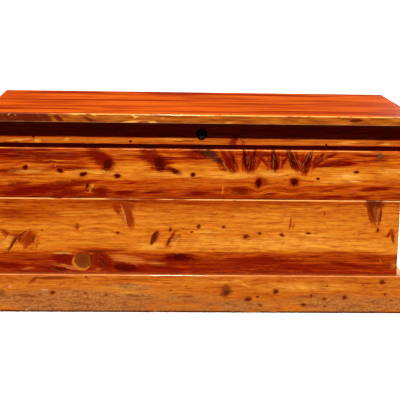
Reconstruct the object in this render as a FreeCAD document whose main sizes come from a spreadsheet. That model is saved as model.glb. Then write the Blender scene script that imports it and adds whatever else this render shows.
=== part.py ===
import FreeCAD, Part
import os
import Sketcher
from FreeCAD import Placement, Rotation, Vector

# Lidded cedar chest: four tongued board walls on corner posts, a plinth round the foot,
# a boarded floor on cleats and an overhanging boarded lid on two butt hinges, with a
# cylinder lock in the front and a folding parallel-arm stay at each end.
#
# Frame: +Z up, +X to the right seen from the front, the front faces -Y.
# Origin: on the ground, under the middle of the whole outline.

# ---------------------------------------------------------------------------
# Driving sizes, in millimetres
# ---------------------------------------------------------------------------

SIZES = [
    ("case_width", 914.0, "outside of the board walls, left to right"),
    ("case_depth", 410.0, "outside of the board walls, front to back"),
    ("board_thickness", 19.0, "every wall board"),
    ("foot_clearance", 12.0, "wall boards end this far above the ground"),
    ("lower_board_width", 124.0, "lowest wall board, face width"),
    ("middle_board_width", 128.0, "middle wall board, face width"),
    ("upper_board_width", 112.0, "upper wall board, face width"),
    ("rail_width", 63.0, "top rail, face width with its rebate"),
    ("rebate_height", 11.5, "shadow rebate along the foot of the rail"),
    ("rebate_depth", 9.5, "how far the rebate is set back"),
    ("seam_bevel", 3.5, "bevel on the top arris of the middle boards"),
    ("panel_bevel", 2.0, "bevel on the top arris of the upper boards"),
    ("tongue_thickness", 6.0, "tongue of the wall and lid boards"),
    ("tongue_length", 6.0, "how far a tongue stands up"),
    ("glue_gap", 0.2, "gap round a tongue in its groove"),
    ("plinth_height", 89.0, "plinth board, face width"),
    ("plinth_thickness", 19.0, "plinth board"),
    ("plinth_round", 3.0, "rounding of the plinth's top arris"),
    ("plinth_wear", 2.0, "rounding of the plinth's bottom arris"),
    ("lid_thickness", 19.0, "lid boards"),
    ("lid_overhang", 28.0, "lid past the case at the front and the ends"),
    ("lid_front_width", 146.0, "front lid board, face width"),
    ("lid_back_width", 146.0, "back lid board, face width"),
    ("lid_round", 2.5, "rounding of the lid's top arris"),
    ("post_size", 28.0, "square corner post"),
    ("post_bevel", 7.0, "bevel on the corner post's inner arris"),
    ("post_top_gap", 1.0, "corner post ends this far below the lid"),
    ("floor_thickness", 12.0, "floor boards"),
    ("floor_tongue", 4.0, "tongue of a floor board, thickness and length"),
    ("floor_end_gap", 0.5, "floor boards to the walls all round"),
    ("cleat_width", 25.0, "floor cleats and bearer, across"),
    ("cleat_height", 30.0, "floor cleats and bearer, upright"),
    ("cleat_drop", 8.0, "cleats stand this far above the wall boards' feet"),
    ("batten_width", 50.0, "lid batten, across"),
    ("batten_thickness", 16.0, "lid batten"),
    ("batten_offset", 207.0, "middle of a lid batten from the end of the case"),
    ("batten_end_gap", 3.0, "lid batten ends to the walls"),
    ("batten_round", 4.0, "rounding of a batten's lower arrises"),
    ("wood_screw_radius", 2.0, "wood screw shank"),
    ("wood_screw_head", 4.0, "wood screw head radius"),
    ("wood_screw_length", 36.0, "wood screw in posts, cleats and floor"),
    ("batten_screw_length", 28.0, "wood screw in the lid battens"),
    ("batten_screw_pitch", 24.0, "between the two rows of batten screws"),
    ("screw_stagger", 16.0, "between crossing post screws, in height"),
    ("small_screw_radius", 1.75, "fitting screw shank"),
    ("small_screw_head", 3.5, "fitting screw head radius"),
    ("small_screw_length", 15.0, "fitting screw"),
    ("screw_play", 0.1, "gap all round a screw in its hole"),
    ("hinge_offset", 137.0, "middle of a hinge from the end of the case"),
    ("hinge_length", 64.0, "butt hinge leaf along its pin"),
    ("leaf_width", 16.0, "butt hinge leaf let into the wood"),
    ("leaf_thickness", 2.0, "butt hinge leaf"),
    ("barrel_radius", 3.5, "hinge barrel"),
    ("barrel_gap", 0.3, "hinge barrel to the back of the chest"),
    ("hinge_pin_radius", 1.75, "hinge pin"),
    ("pin_play", 0.05, "running gap of hinge pin, stay pins and lock cylinder"),
    ("knuckle_gap", 0.2, "between two hinge knuckles"),
    ("mortise_gap", 0.2, "round a leaf or plate let into the wood"),
    ("lock_drop", 28.0, "lock centre below the lid"),
    ("escutcheon_radius", 12.0, "round lock escutcheon"),
    ("escutcheon_thickness", 2.5, "round lock escutcheon"),
    ("sleeve_radius", 9.3, "lock sleeve through the rail"),
    ("sleeve_gap", 0.2, "lock sleeve in its bore"),
    ("cylinder_radius", 7.0, "lock cylinder"),
    ("cylinder_stand", 0.6, "lock cylinder past the escutcheon"),
    ("collar_radius", 8.2, "collar behind the lock cylinder"),
    ("collar_thickness", 2.6, "collar behind the lock cylinder"),
    ("keyway_width", 1.8, "keyway across"),
    ("keyway_height", 8.0, "keyway upright"),
    ("keyway_depth", 14.0, "keyway"),
    ("crank_radius", 5.0, "drive pin from the cylinder's axis"),
    ("drive_pin_radius", 1.5, "drive pin"),
    ("lock_case_width", 54.0, "lock case"),
    ("lock_case_below", 14.0, "lock case below the lock centre"),
    ("lock_case_depth", 12.4, "lock case"),
    ("lock_case_wall", 2.0, "lock case"),
    ("lock_ear", 11.0, "screw ear at each end of the lock case"),
    ("lid_gap", 1.0, "lock case to the lid"),
    ("bolt_thickness", 4.0, "lock bolt"),
    ("bolt_set_back", 4.5, "lock bolt behind the rail's inner face"),
    ("bolt_travel", 7.07, "travel of the lock bolt in a quarter turn"),
    ("bolt_play", 0.3, "gap between moving lock pieces"),
    ("slot_play", 0.9, "catch in its slot in the lock case"),
    ("catch_thickness", 3.0, "catch of the strike, along the chest"),
    ("catch_width", 7.0, "catch of the strike, front to back"),
    ("catch_length", 17.0, "catch of the strike, below the lid"),
    ("catch_pitch", 20.0, "between the two catches"),
    ("catch_shift", 5.5, "middle of the catches to the right of the lock centre"),
    ("catch_web", 2.2, "catch below its eye"),
    ("bolt_web", 1.6, "bolt above and below its slot"),
    ("bolt_rest_gap", 1.0, "tip of a prong to its catch when unlocked"),
    ("shelf_thickness", 2.0, "shelf that carries the bolt in the lock case"),
    ("shelf_gap", 0.1, "bolt above its shelf"),
    ("strike_length", 56.0, "strike plate"),
    ("strike_width", 13.0, "strike plate"),
    ("strike_thickness", 2.0, "strike plate"),
    ("stay_reach", 180.0, "lid pin of a stay in front of the hinge axis"),
    ("stay_pin_drop", 16.0, "lid pin of a stay below the hinge axis"),
    ("stay_case_reach", 100.0, "case pin of a stay in front of the hinge axis"),
    ("stay_case_drop", 130.0, "case pin of a stay below the hinge axis"),
    ("arm_width", 14.0, "stay arm"),
    ("arm_thickness", 2.5, "stay arm"),
    ("arm_gap", 1.0, "between two stay pieces on one pin"),
    ("stay_pin_radius", 2.5, "stay pin"),
    ("bracket_thickness", 2.0, "stay brackets"),
    ("bracket_width", 24.0, "stay brackets"),
    ("bracket_height", 46.0, "stay brackets, along their screw line"),
    ("bracket_screw_inset", 7.0, "bracket screws from the bracket's ends"),
    ("lid_flange", 18.0, "flange of the lid bracket on the lid"),
    ("plug_radius", 6.2, "filler plug in the front"),
    ("plug_depth", 5.0, "filler plug in the front"),
    ("plug_inset", 53.0, "plug centre from the right-hand end of the case"),
    ("plug_stand", 0.4, "plug proud of the front"),
    ("plug_drop", 10.5, "plug centre below the top of the upper board"),
]

# Three boards make the floor and three the lid, named from the front.
ROWS = ("front", "middle", "back")

# A sketch numbers the two ends of a line or arc and an arc's centre upwards from 1, and
# its own two axes downwards from -1.
START, END, CENTRE = range(1, 4)
LEVEL_AXIS, UPRIGHT_AXIS = range(-1, -3, -1)

DOCUMENT = FreeCAD.newDocument("cedar_chest")
SHEET = DOCUMENT.addObject("Spreadsheet::Sheet", "Sizes")
for row, (alias, value, meaning) in enumerate(SIZES, start=1):
    SHEET.set(f"A{row}", alias)
    SHEET.set(f"B{row}", str(value))
    SHEET.set(f"C{row}", meaning)
    SHEET.setAlias(f"B{row}", alias)
DOCUMENT.recompute()


class Size:
    """A length that carries its value and the spreadsheet expression for it."""

    def __init__(self, value, text):
        self.value = float(value)
        self.text = text

    @staticmethod
    def of(other):
        """Turns a plain number into a Size."""
        return other if isinstance(other, Size) else Size(other, repr(float(other)))

    def _join(self, other, sign, value):
        return Size(value, f"({self.text} {sign} {Size.of(other).text})")

    def __add__(self, other):
        return self._join(other, "+", self.value + Size.of(other).value)

    def __sub__(self, other):
        return self._join(other, "-", self.value - Size.of(other).value)

    def __mul__(self, other):
        return self._join(other, "*", self.value * Size.of(other).value)

    def __truediv__(self, other):
        return self._join(other, "/", self.value / Size.of(other).value)

    def __neg__(self):
        return Size(-self.value, f"(0 - {self.text})")


class Sheet:
    """Reads the spreadsheet's cells as Size values by their alias."""

    def __getattr__(self, alias):
        return Size(SHEET.get(alias), f"Sizes.{alias}")


S = Sheet()
ZERO = Size(0.0, "0")

# ---------------------------------------------------------------------------
# Places worked out from the sizes
# ---------------------------------------------------------------------------

T = S.board_thickness

# Heights above the ground.
FOOT = S.foot_clearance
SEAM_LOW = FOOT + S.lower_board_width
SEAM_HIGH = SEAM_LOW + S.middle_board_width
PANEL_TOP = SEAM_HIGH + S.upper_board_width
RIM = PANEL_TOP + S.rail_width
CLEAT_FOOT = FOOT + S.cleat_drop
FLOOR_UNDER = CLEAT_FOOT + S.cleat_height
FLOOR_TOP = FLOOR_UNDER + S.floor_thickness

# Front to back: the outline runs from the lid's overhang to the back plinth.
FRONT = (S.lid_overhang - S.plinth_thickness - S.case_depth) / 2
BACK = FRONT + S.case_depth
MIDDLE_Y = (FRONT + BACK) / 2
INNER_FRONT = FRONT + T
INNER_BACK = BACK - T
INNER_DEPTH = S.case_depth - T - T
LID_FRONT = FRONT - S.lid_overhang

# Left to right.
INNER_WIDTH = S.case_width - T - T
INNER_RIGHT = INNER_WIDTH / 2
LID_LENGTH = S.case_width + S.lid_overhang + S.lid_overhang

# Screws that hold the walls to the corner posts, one height per row of boards.
POST_SCREW_HEIGHTS = {
    "lower": (FLOOR_TOP + SEAM_LOW) / 2,
    "middle": (SEAM_LOW + SEAM_HIGH) / 2,
    "upper": (SEAM_HIGH + PANEL_TOP) / 2,
    "rail": (PANEL_TOP + RIM) / 2,
}
HALF_POST = S.post_size / 2
HALF_STAGGER = S.screw_stagger / 2

# Floor boards and what they rest on.
FLOOR_NEAR = INNER_FRONT + S.floor_end_gap
FLOOR_PITCH = (INNER_DEPTH - S.floor_end_gap - S.floor_end_gap) / len(ROWS)
SUPPORT_X = INNER_RIGHT - S.cleat_width / 2

# Hinges: the axis lies at the level where case and lid meet, just behind the back.
HINGE_X = S.case_width / 2 - S.hinge_offset
HINGE_REACH = S.barrel_radius + S.barrel_gap
HINGE_Y = BACK + HINGE_REACH
LEAF_END = HINGE_REACH + S.leaf_width
LEAF_SCREW_Y = HINGE_REACH + S.leaf_width / 2
LEAF_SCREWS_X = (S.hinge_length / 3, ZERO, -S.hinge_length / 3)
CASE_KNUCKLES = (0, 2, 4)
LID_KNUCKLES = (1, 3)

# Lock: measured from its centre on the inner face of the front rail.
LOCK_Z = RIM - S.lock_drop
CRANK_OUT = S.crank_radius / 2 ** 0.5
BOLT_LOW = CRANK_OUT - S.drive_pin_radius - S.bolt_play - S.bolt_web
BOLT_HIGH = S.crank_radius + S.drive_pin_radius + S.bolt_play + S.bolt_web
BOLT_BACK = S.bolt_set_back + S.bolt_thickness
BOLT_MIDDLE = S.bolt_set_back + S.bolt_thickness / 2
CATCH_FOOT = S.lock_drop - S.catch_length
EYE_LOW = CATCH_FOOT + S.catch_web
PRONG_LOW = EYE_LOW + S.bolt_play
PRONG_HIGH = PRONG_LOW + S.bolt_thickness
PRONG_LENGTH = S.bolt_travel - S.bolt_play
CATCHES_X = (S.catch_shift - S.catch_pitch / 2, S.catch_shift + S.catch_pitch / 2)
LOCK_CAVITY = S.lock_case_depth - S.lock_case_wall
EAR_X = (S.lock_case_width + S.lock_ear) / 2
STRIKE_SCREW_X = S.strike_length / 2 - S.strike_width / 2

# Stays: a parallelogram of hinge axis, lid pin, elbow and case pin.
STAY_LID_Y = HINGE_Y - S.stay_reach
STAY_CASE_Y = HINGE_Y - S.stay_case_reach
STAY_CASE_Z = RIM - S.stay_case_drop
ELBOW_Y = STAY_CASE_Y - S.stay_reach
ELBOW_Z = STAY_CASE_Z - S.stay_pin_drop
LOWER_ARM_X = S.bracket_thickness + S.arm_gap
UPPER_ARM_X = LOWER_ARM_X + S.arm_thickness + S.arm_gap
LID_LEG_X = UPPER_ARM_X + S.arm_thickness + S.arm_gap
FLANGE_SCREW_X = LID_LEG_X + S.bracket_thickness + S.lid_flange / 2
BRACKET_SCREW = S.bracket_height / 2 - S.bracket_screw_inset

# Lid boards, front to back, and the battens under them.
BATTEN_X = S.case_width / 2 - S.batten_offset
LID_SEAM_NEAR = LID_FRONT + S.lid_front_width
LID_SEAM_FAR = BACK - S.lid_back_width
BATTEN_NEAR = INNER_FRONT + S.batten_end_gap
BATTEN_FAR = INNER_BACK - S.batten_end_gap
BATTEN_SCREWS_Y = (
    (BATTEN_NEAR + LID_SEAM_NEAR) / 2,
    (LID_SEAM_NEAR + LID_SEAM_FAR) / 2,
    (LID_SEAM_FAR + BATTEN_FAR) / 2,
)

# The plug in the front fills a hole near its right-hand end.
PLUG_X = S.case_width / 2 - S.plug_inset
PLUG_Z = PANEL_TOP - S.plug_drop

# A cut that takes away less than this, in cubic millimetres, has missed its piece.
LEAST_CUT = 0.001

# Direction of each origin plane's sketch normal, along its own axis.
PLANE_NORMAL = {"XY_Plane": 1, "XZ_Plane": -1, "YZ_Plane": 1}

# ---------------------------------------------------------------------------
# Sketches and features
# ---------------------------------------------------------------------------


def new_body(label):
    """Starts a part-design body that becomes one node."""
    body = DOCUMENT.addObject("PartDesign::Body", label)
    body.Label = label
    return body


def origin_feature(body, role):
    """Finds a plane or axis of the body's own origin."""
    return next(item for item in body.Origin.OriginFeatures if item.Role == role)


def pin_vertex(drawing, geometry, vertex, x, y):
    """Ties one sketch vertex to its two coordinates."""
    for kind, size, axis in (("DistanceX", x, UPRIGHT_AXIS), ("DistanceY", y, LEVEL_AXIS)):
        if size.text == ZERO.text:
            drawing.addConstraint(Sketcher.Constraint("PointOnObject", geometry, vertex, axis))
            continue
        rule = Sketcher.Constraint(kind, LEVEL_AXIS, START, geometry, vertex, size.value)
        index = drawing.addConstraint(rule)
        drawing.setExpression(f"Constraints[{index}]", size.text)


def fix_radius(drawing, geometry, radius):
    """Ties a circle or arc to its radius."""
    index = drawing.addConstraint(Sketcher.Constraint("Radius", geometry, radius.value))
    drawing.setExpression(f"Constraints[{index}]", radius.text)


def draw_outline(drawing, points):
    """Draws a closed outline through points, each a pair of Size values."""
    places = [Vector(x.value, y.value, 0) for x, y in points]
    first = drawing.GeometryCount
    count = len(places)
    for index in range(count):
        line = Part.LineSegment(places[index], places[(index + 1) % count])
        drawing.addGeometry(line, False)
    for index in range(count):
        ends = (first + index, END, first + (index + 1) % count, START)
        drawing.addConstraint(Sketcher.Constraint("Coincident", *ends))
    for index, (x, y) in enumerate(points):
        pin_vertex(drawing, first + index, START, x, y)


def draw_circle(drawing, x, y, radius):
    """Draws a circle tied to its centre and radius."""
    circle = Part.Circle(Vector(x.value, y.value, 0), Vector(0, 0, 1), radius.value)
    index = drawing.addGeometry(circle, False)
    pin_vertex(drawing, index, CENTRE, x, y)
    fix_radius(drawing, index, radius)


def draw_bar(drawing, end, radius):
    """Draws a bar with round ends from the sketch's origin to the end point."""
    start_place = Vector(0, 0, 0)
    end_place = Vector(end[0].value, end[1].value, 0)
    along = (end_place - start_place).normalize()
    side = Vector(-along.y, along.x, 0) * radius.value
    tip = along * radius.value
    near = Part.Arc(start_place + side, start_place - tip, start_place - side)
    far = Part.Arc(end_place - side, end_place + tip, end_place + side)
    near_id = drawing.addGeometry(near, False)
    low_id = drawing.addGeometry(Part.LineSegment(start_place - side, end_place - side), False)
    far_id = drawing.addGeometry(far, False)
    high_id = drawing.addGeometry(Part.LineSegment(end_place + side, start_place + side), False)
    pin_vertex(drawing, near_id, CENTRE, ZERO, ZERO)
    pin_vertex(drawing, far_id, CENTRE, *end)
    fix_radius(drawing, near_id, radius)
    drawing.addConstraint(Sketcher.Constraint("Equal", near_id, far_id))
    joints = (
        (near_id, END, low_id, START),
        (low_id, END, far_id, START),
        (far_id, END, high_id, START),
        (high_id, END, near_id, START),
    )
    for joint in joints:
        drawing.addConstraint(Sketcher.Constraint("Tangent", *joint))


def new_sketch(body, role, at=ZERO):
    """Attaches an empty sketch to an origin plane moved to the given coordinate."""
    drawing = body.newObject("Sketcher::SketchObject", f"{body.Label}_sketch")
    drawing.AttachmentSupport = [(origin_feature(body, role), "")]
    drawing.MapMode = "FlatFace"
    shift = at if PLANE_NORMAL[role] > 0 else -at
    if at.text != ZERO.text:
        drawing.AttachmentOffset = Placement(Vector(0, 0, shift.value), Rotation())
        drawing.setExpression("AttachmentOffset.Base.z", shift.text)
    return drawing


def outline_sketch(body, role, outlines, at=ZERO):
    """Makes a sketch of one or more closed outlines."""
    drawing = new_sketch(body, role, at)
    for points in outlines:
        draw_outline(drawing, points)
    return drawing


def circle_sketch(body, role, spots, radius, at=ZERO):
    """Makes a sketch of equal circles."""
    drawing = new_sketch(body, role, at)
    for x, y in spots:
        draw_circle(drawing, x, y, radius)
    return drawing


def rectangle(low_x, low_y, high_x, high_y):
    """Lists the four corners of a rectangle."""
    return [(low_x, low_y), (high_x, low_y), (high_x, high_y), (low_x, high_y)]


def centred(half_x, half_y):
    """Lists the corners of a rectangle about the sketch's origin."""
    return rectangle(-half_x, -half_y, half_x, half_y)


def pad(body, drawing, length, role=None, toward=1):
    """Adds material: centred on the sketch, or towards one side of its plane."""
    feature = body.newObject("PartDesign::Pad", f"{body.Label}_pad")
    feature.Profile = drawing
    feature.setExpression("Length", length.text)
    if role is None:
        feature.SideType = "Symmetric"
    else:
        feature.Reversed = toward != PLANE_NORMAL[role]
    DOCUMENT.recompute()
    return feature


def cut(body, drawing, depth=None, role=None, toward=1):
    """Removes material: right through, or to a depth towards one side of the plane."""
    before = body.Shape.Volume
    feature = body.newObject("PartDesign::Pocket", f"{body.Label}_pocket")
    feature.Profile = drawing
    if depth is None:
        feature.Type = "ThroughAll"
        feature.SideType = "Symmetric"
    else:
        feature.setExpression("Length", depth.text)
        feature.Reversed = toward == PLANE_NORMAL[role]
    DOCUMENT.recompute()
    if body.Shape.Volume > before - LEAST_CUT:
        raise ValueError(f"{body.Label}: a pocket removes nothing")
    return feature


def drill(body, role, spots, radius, depth, at, toward):
    """Bores equal blind holes from a plane."""
    drawing = circle_sketch(body, role, spots, radius, at)
    return cut(body, drawing, depth, role, toward)


def screw_holes(body, role, spots, radius, head_radius, at, toward):
    """Drills countersunk clearance holes for screws right through the body."""
    before = body.Shape.Volume
    drawing = circle_sketch(body, role, spots, radius + S.screw_play, at)
    DOCUMENT.recompute()
    hole = body.newObject("PartDesign::Hole", f"{body.Label}_hole")
    hole.Profile = drawing
    hole.Reversed = toward == PLANE_NORMAL[role]
    hole.DepthType = "ThroughAll"
    hole.setExpression("Diameter", ((radius + S.screw_play) * 2).text)
    hole.HoleCutType = "Countersink"
    hole.HoleCutCustomValues = True
    hole.HoleCutCountersinkAngle = 90
    hole.setExpression("HoleCutDiameter", ((head_radius + S.screw_play) * 2).text)
    DOCUMENT.recompute()
    if body.Shape.Volume > before - LEAST_CUT:
        raise ValueError(f"{body.Label}: the screw holes remove nothing")
    return hole


def turn_profile(body, points, role, axis_role):
    """Turns an outline about one of the body's own axes."""
    feature = body.newObject("PartDesign::Revolution", f"{body.Label}_turn")
    feature.Profile = outline_sketch(body, role, [points])
    feature.ReferenceAxis = (origin_feature(body, axis_role), [""])
    feature.Angle = 360
    DOCUMENT.recompute()
    return feature


def round_edges(body, radius, chosen):
    """Rounds every edge of the body whose middle and direction the test accepts."""
    base = body.Tip
    names = []
    for index, edge in enumerate(base.Shape.Edges, start=1):
        ends = [vertex.Point for vertex in edge.Vertexes]
        if len(ends) == 2 and chosen(edge.CenterOfMass, ends[1] - ends[0]):
            names.append(f"Edge{index}")
    feature = body.newObject("PartDesign::Fillet", f"{body.Label}_round")
    feature.Base = (base, names)
    feature.setExpression("Radius", radius.text)
    DOCUMENT.recompute()
    return feature


def near(value, size):
    """Tests a coordinate against a size."""
    return abs(value - size.value) < 0.01


def touching(spots, low, high, radius):
    """Keeps the places along a line whose hole of that radius touches a span of it."""
    reach_low = (low - radius).value
    reach_high = (high + radius).value
    return [spot for spot in spots if reach_low < spot.value < reach_high]


def place(piece, x=ZERO, y=ZERO, z=ZERO, along=(1, 0)):
    """Puts a piece at its place, turned so that its own X points along the given way."""
    own_x = Vector(*along, 0)
    own_y = Vector(-own_x.y, own_x.x, 0)
    spin = Rotation(own_x, own_y, Vector(0, 0, 1), "ZXY")
    piece.Placement = Placement(Vector(x.value, y.value, z.value), spin)
    for axis, size in zip("xyz", (x, y, z)):
        piece.setExpression(f"Placement.Base.{axis}", size.text)
    return piece


# ---------------------------------------------------------------------------
# Case walls
# ---------------------------------------------------------------------------

# Each wall's own frame has X along it and Y inwards from its outer face; heights are true.
# Name: place of the outer face, way of its X, whole length, length between the posts' outsides.
WALLS = {
    "front": (ZERO, FRONT, (1, 0), S.case_width, INNER_WIDTH),
    "back": (ZERO, BACK, (-1, 0), S.case_width, INNER_WIDTH),
    "left": (-S.case_width / 2, MIDDLE_Y, (0, -1), INNER_DEPTH, INNER_DEPTH),
    "right": (S.case_width / 2, MIDDLE_Y, (0, 1), INNER_DEPTH, INNER_DEPTH),
}

# Row of boards, upwards: its lowest and highest point, tongue and all.
WALL_ROWS = {
    "lower_board": (FOOT, SEAM_LOW + S.tongue_length),
    "middle_board": (SEAM_LOW, SEAM_HIGH + S.tongue_length),
    "upper_board": (SEAM_HIGH, PANEL_TOP),
    "top_rail": (PANEL_TOP, RIM),
}


def board_section(foot, head, grooved, tongued, bevel):
    """Section of a wall board, from its outer face inwards."""
    tongue_near = (T - S.tongue_thickness) / 2
    tongue_far = tongue_near + S.tongue_thickness
    points = [(ZERO, foot)]
    if grooved:
        points += [
            (tongue_near - S.glue_gap, foot),
            (tongue_near - S.glue_gap, foot + S.tongue_length + S.glue_gap),
            (tongue_far + S.glue_gap, foot + S.tongue_length + S.glue_gap),
            (tongue_far + S.glue_gap, foot),
        ]
    points += [(T, foot), (T, head)]
    if tongued:
        points += [
            (tongue_far, head),
            (tongue_far, head + S.tongue_length),
            (tongue_near, head + S.tongue_length),
            (tongue_near, head),
        ]
    if bevel is None:
        points.append((ZERO, head))
    else:
        points += [(bevel, head), (ZERO, head - bevel)]
    return points


def rail_section():
    """Section of a top rail, rebated along the foot of its outer face."""
    rebate_top = PANEL_TOP + S.rebate_height
    return [
        (S.rebate_depth, PANEL_TOP),
        (T, PANEL_TOP),
        (T, RIM),
        (ZERO, RIM),
        (ZERO, rebate_top),
        (S.rebate_depth, rebate_top),
    ]


def wall_board(wall, row, label, section):
    """Makes one board of one wall with the pilot holes of its two post screws."""
    x, y, along, length, run = WALLS[wall]
    board = new_body(label)
    pad(board, outline_sketch(board, "YZ_Plane", [section]), length)
    height = POST_SCREW_HEIGHTS[row]
    end = run / 2 - HALF_POST
    spots = [(-end, height + HALF_STAGGER), (end, height - HALF_STAGGER)]
    depth = S.wood_screw_length - S.post_size + S.screw_play
    drill(board, "XZ_Plane", spots, S.wood_screw_radius + S.screw_play, depth, T, -1)
    return place(board, x, y, ZERO, along)


def build_walls():
    """Makes the four boards of each of the four walls."""
    rows = {
        "lower": (FOOT, SEAM_LOW, False, True, None),
        "middle": (SEAM_LOW, SEAM_HIGH, True, True, S.seam_bevel),
        "upper": (SEAM_HIGH, PANEL_TOP, True, False, S.panel_bevel),
    }
    boards = {}
    for wall in WALLS:
        for row, sizes in rows.items():
            label = f"{wall}_{row}_board"
            boards[label] = wall_board(wall, row, label, board_section(*sizes))
        label = f"{wall}_top_rail"
        boards[label] = wall_board(wall, "rail", label, rail_section())
    return boards


def fit_front(boards):
    """Bores the front for the lock and for the plug."""
    rail = boards["front_top_rail"]
    bore = S.sleeve_radius + S.sleeve_gap
    cut(rail, circle_sketch(rail, "XZ_Plane", [(ZERO, LOCK_Z)], bore))
    ears = [(-EAR_X, LOCK_Z), (EAR_X, LOCK_Z)]
    depth = S.small_screw_length - S.lock_case_wall + S.screw_play
    drill(rail, "XZ_Plane", ears, S.small_screw_radius + S.screw_play, depth, T, -1)
    board = boards["front_upper_board"]
    drill(board, "XZ_Plane", [(PLUG_X, PLUG_Z)], S.plug_radius, S.plug_depth, ZERO, 1)


def fit_back(boards):
    """Lets the two hinge leaves into the back rail's top edge."""
    rail = boards["back_top_rail"]
    half = S.hinge_length / 2 + S.mortise_gap
    reach = S.leaf_width + S.mortise_gap
    mortises = []
    spots = []
    for side in (-HINGE_X, HINGE_X):
        mortises.append(rectangle(side - half, ZERO, side + half, reach))
        spots += [(side + x, S.leaf_width / 2) for x in LEAF_SCREWS_X]
    drawing = outline_sketch(rail, "XY_Plane", mortises, RIM)
    cut(rail, drawing, S.leaf_thickness, "XY_Plane", -1)
    depth = S.small_screw_length + S.screw_play
    drill(rail, "XY_Plane", spots, S.small_screw_radius + S.screw_play, depth, RIM, -1)


def fit_sides(boards):
    """Drills the side walls for the stay brackets and the floor cleats."""
    small = S.small_screw_radius + S.screw_play
    wood = S.wood_screw_radius + S.screw_play
    bracket_depth = S.small_screw_length - S.bracket_thickness + S.screw_play
    cleat_depth = S.wood_screw_length - S.cleat_width + S.screw_play
    bracket_heights = (STAY_CASE_Z - BRACKET_SCREW, STAY_CASE_Z + BRACKET_SCREW)
    cleat_heights = (CLEAT_FOOT + S.cleat_height / 2,)
    half_pitch = FLOOR_PITCH / 2
    for wall, stay_x in (("left", MIDDLE_Y - STAY_CASE_Y), ("right", STAY_CASE_Y - MIDDLE_Y)):
        for row, (low, high) in WALL_ROWS.items():
            board = boards[f"{wall}_{row}"]
            spots = [(stay_x, z) for z in touching(bracket_heights, low, high, small)]
            if spots:
                drill(board, "XZ_Plane", spots, small, bracket_depth, T, -1)
            heights = touching(cleat_heights, low, high, wood)
            spots = [(x, z) for z in heights for x in (-half_pitch, half_pitch)]
            if spots:
                drill(board, "XZ_Plane", spots, wood, cleat_depth, T, -1)


# ---------------------------------------------------------------------------
# Posts, floor and plinth
# ---------------------------------------------------------------------------

# Inner corner that each post stands in, and the way of its X, with both walls behind it.
CORNERS = {
    "front_left": (-INNER_RIGHT, INNER_FRONT, (1, 0)),
    "front_right": (INNER_RIGHT, INNER_FRONT, (0, 1)),
    "back_right": (INNER_RIGHT, INNER_BACK, (-1, 0)),
    "back_left": (-INNER_RIGHT, INNER_BACK, (0, -1)),
}


def corner_post(corner):
    """Makes one corner post, bevelled inside and drilled towards both walls."""
    x, y, along = CORNERS[corner]
    post = new_body(f"corner_post_{corner}")
    bevel = S.post_size - S.post_bevel
    outline = [
        (ZERO, ZERO),
        (S.post_size, ZERO),
        (S.post_size, bevel),
        (bevel, S.post_size),
        (ZERO, S.post_size),
    ]
    drawing = outline_sketch(post, "XY_Plane", [outline], FLOOR_TOP)
    pad(post, drawing, RIM - S.post_top_gap - FLOOR_TOP, "XY_Plane", 1)
    heights = POST_SCREW_HEIGHTS.values()
    to_front = [(HALF_POST, height + HALF_STAGGER) for height in heights]
    to_side = [(HALF_POST, height - HALF_STAGGER) for height in heights]
    head = S.wood_screw_head
    screw_holes(post, "XZ_Plane", to_front, S.wood_screw_radius, head, S.post_size, -1)
    screw_holes(post, "YZ_Plane", to_side, S.wood_screw_radius, head, S.post_size, -1)
    return place(post, x, y, ZERO, along)


def floor_board(name, index):
    """Makes one floor board, numbered from the front, tongued into the next."""
    low = FLOOR_NEAR + FLOOR_PITCH * index
    high = low + FLOOR_PITCH
    tongue_low = (S.floor_thickness - S.floor_tongue) / 2
    tongue_high = tongue_low + S.floor_tongue
    points = [(low, ZERO), (high, ZERO)]
    if name != ROWS[-1]:
        tip = high + S.floor_tongue
        points += [(high, tongue_low), (tip, tongue_low), (tip, tongue_high), (high, tongue_high)]
    points += [(high, S.floor_thickness), (low, S.floor_thickness)]
    if index > 0:
        deep = low + S.floor_tongue + S.glue_gap
        wide_low = tongue_low - S.glue_gap
        wide_high = tongue_high + S.glue_gap
        points += [(low, wide_high), (deep, wide_high), (deep, wide_low), (low, wide_low)]
    board = new_body(f"floor_board_{name}")
    length = INNER_WIDTH - S.floor_end_gap - S.floor_end_gap
    pad(board, outline_sketch(board, "YZ_Plane", [points]), length)
    centre = low + FLOOR_PITCH / 2
    spots = [(x, centre) for x in (-SUPPORT_X, ZERO, SUPPORT_X)]
    head = S.wood_screw_head
    top = S.floor_thickness
    screw_holes(board, "XY_Plane", spots, S.wood_screw_radius, head, top, -1)
    return place(board, ZERO, ZERO, FLOOR_UNDER)


def floor_support(label, x, along, screwed):
    """Makes a cleat on a side wall, or the bearer under the middle of the floor."""
    support = new_body(label)
    half_length = INNER_DEPTH / 2
    start = ZERO if screwed else -S.cleat_width / 2
    end = start + S.cleat_width
    outline = rectangle(start, -half_length, end, half_length)
    drawing = outline_sketch(support, "XY_Plane", [outline])
    pad(support, drawing, S.cleat_height, "XY_Plane", 1)
    middle = start + S.cleat_width / 2
    spots = [(middle, y) for y in (-FLOOR_PITCH, ZERO, FLOOR_PITCH)]
    depth = S.wood_screw_length - S.floor_thickness + S.screw_play
    radius = S.wood_screw_radius + S.screw_play
    drill(support, "XY_Plane", spots, radius, depth, S.cleat_height, -1)
    if screwed:
        height = S.cleat_height / 2
        spots = [(-FLOOR_PITCH / 2, height), (FLOOR_PITCH / 2, height)]
        head = S.wood_screw_head
        screw_holes(support, "YZ_Plane", spots, S.wood_screw_radius, head, S.cleat_width, -1)
    return place(support, x, MIDDLE_Y, CLEAT_FOOT, along)


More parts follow.
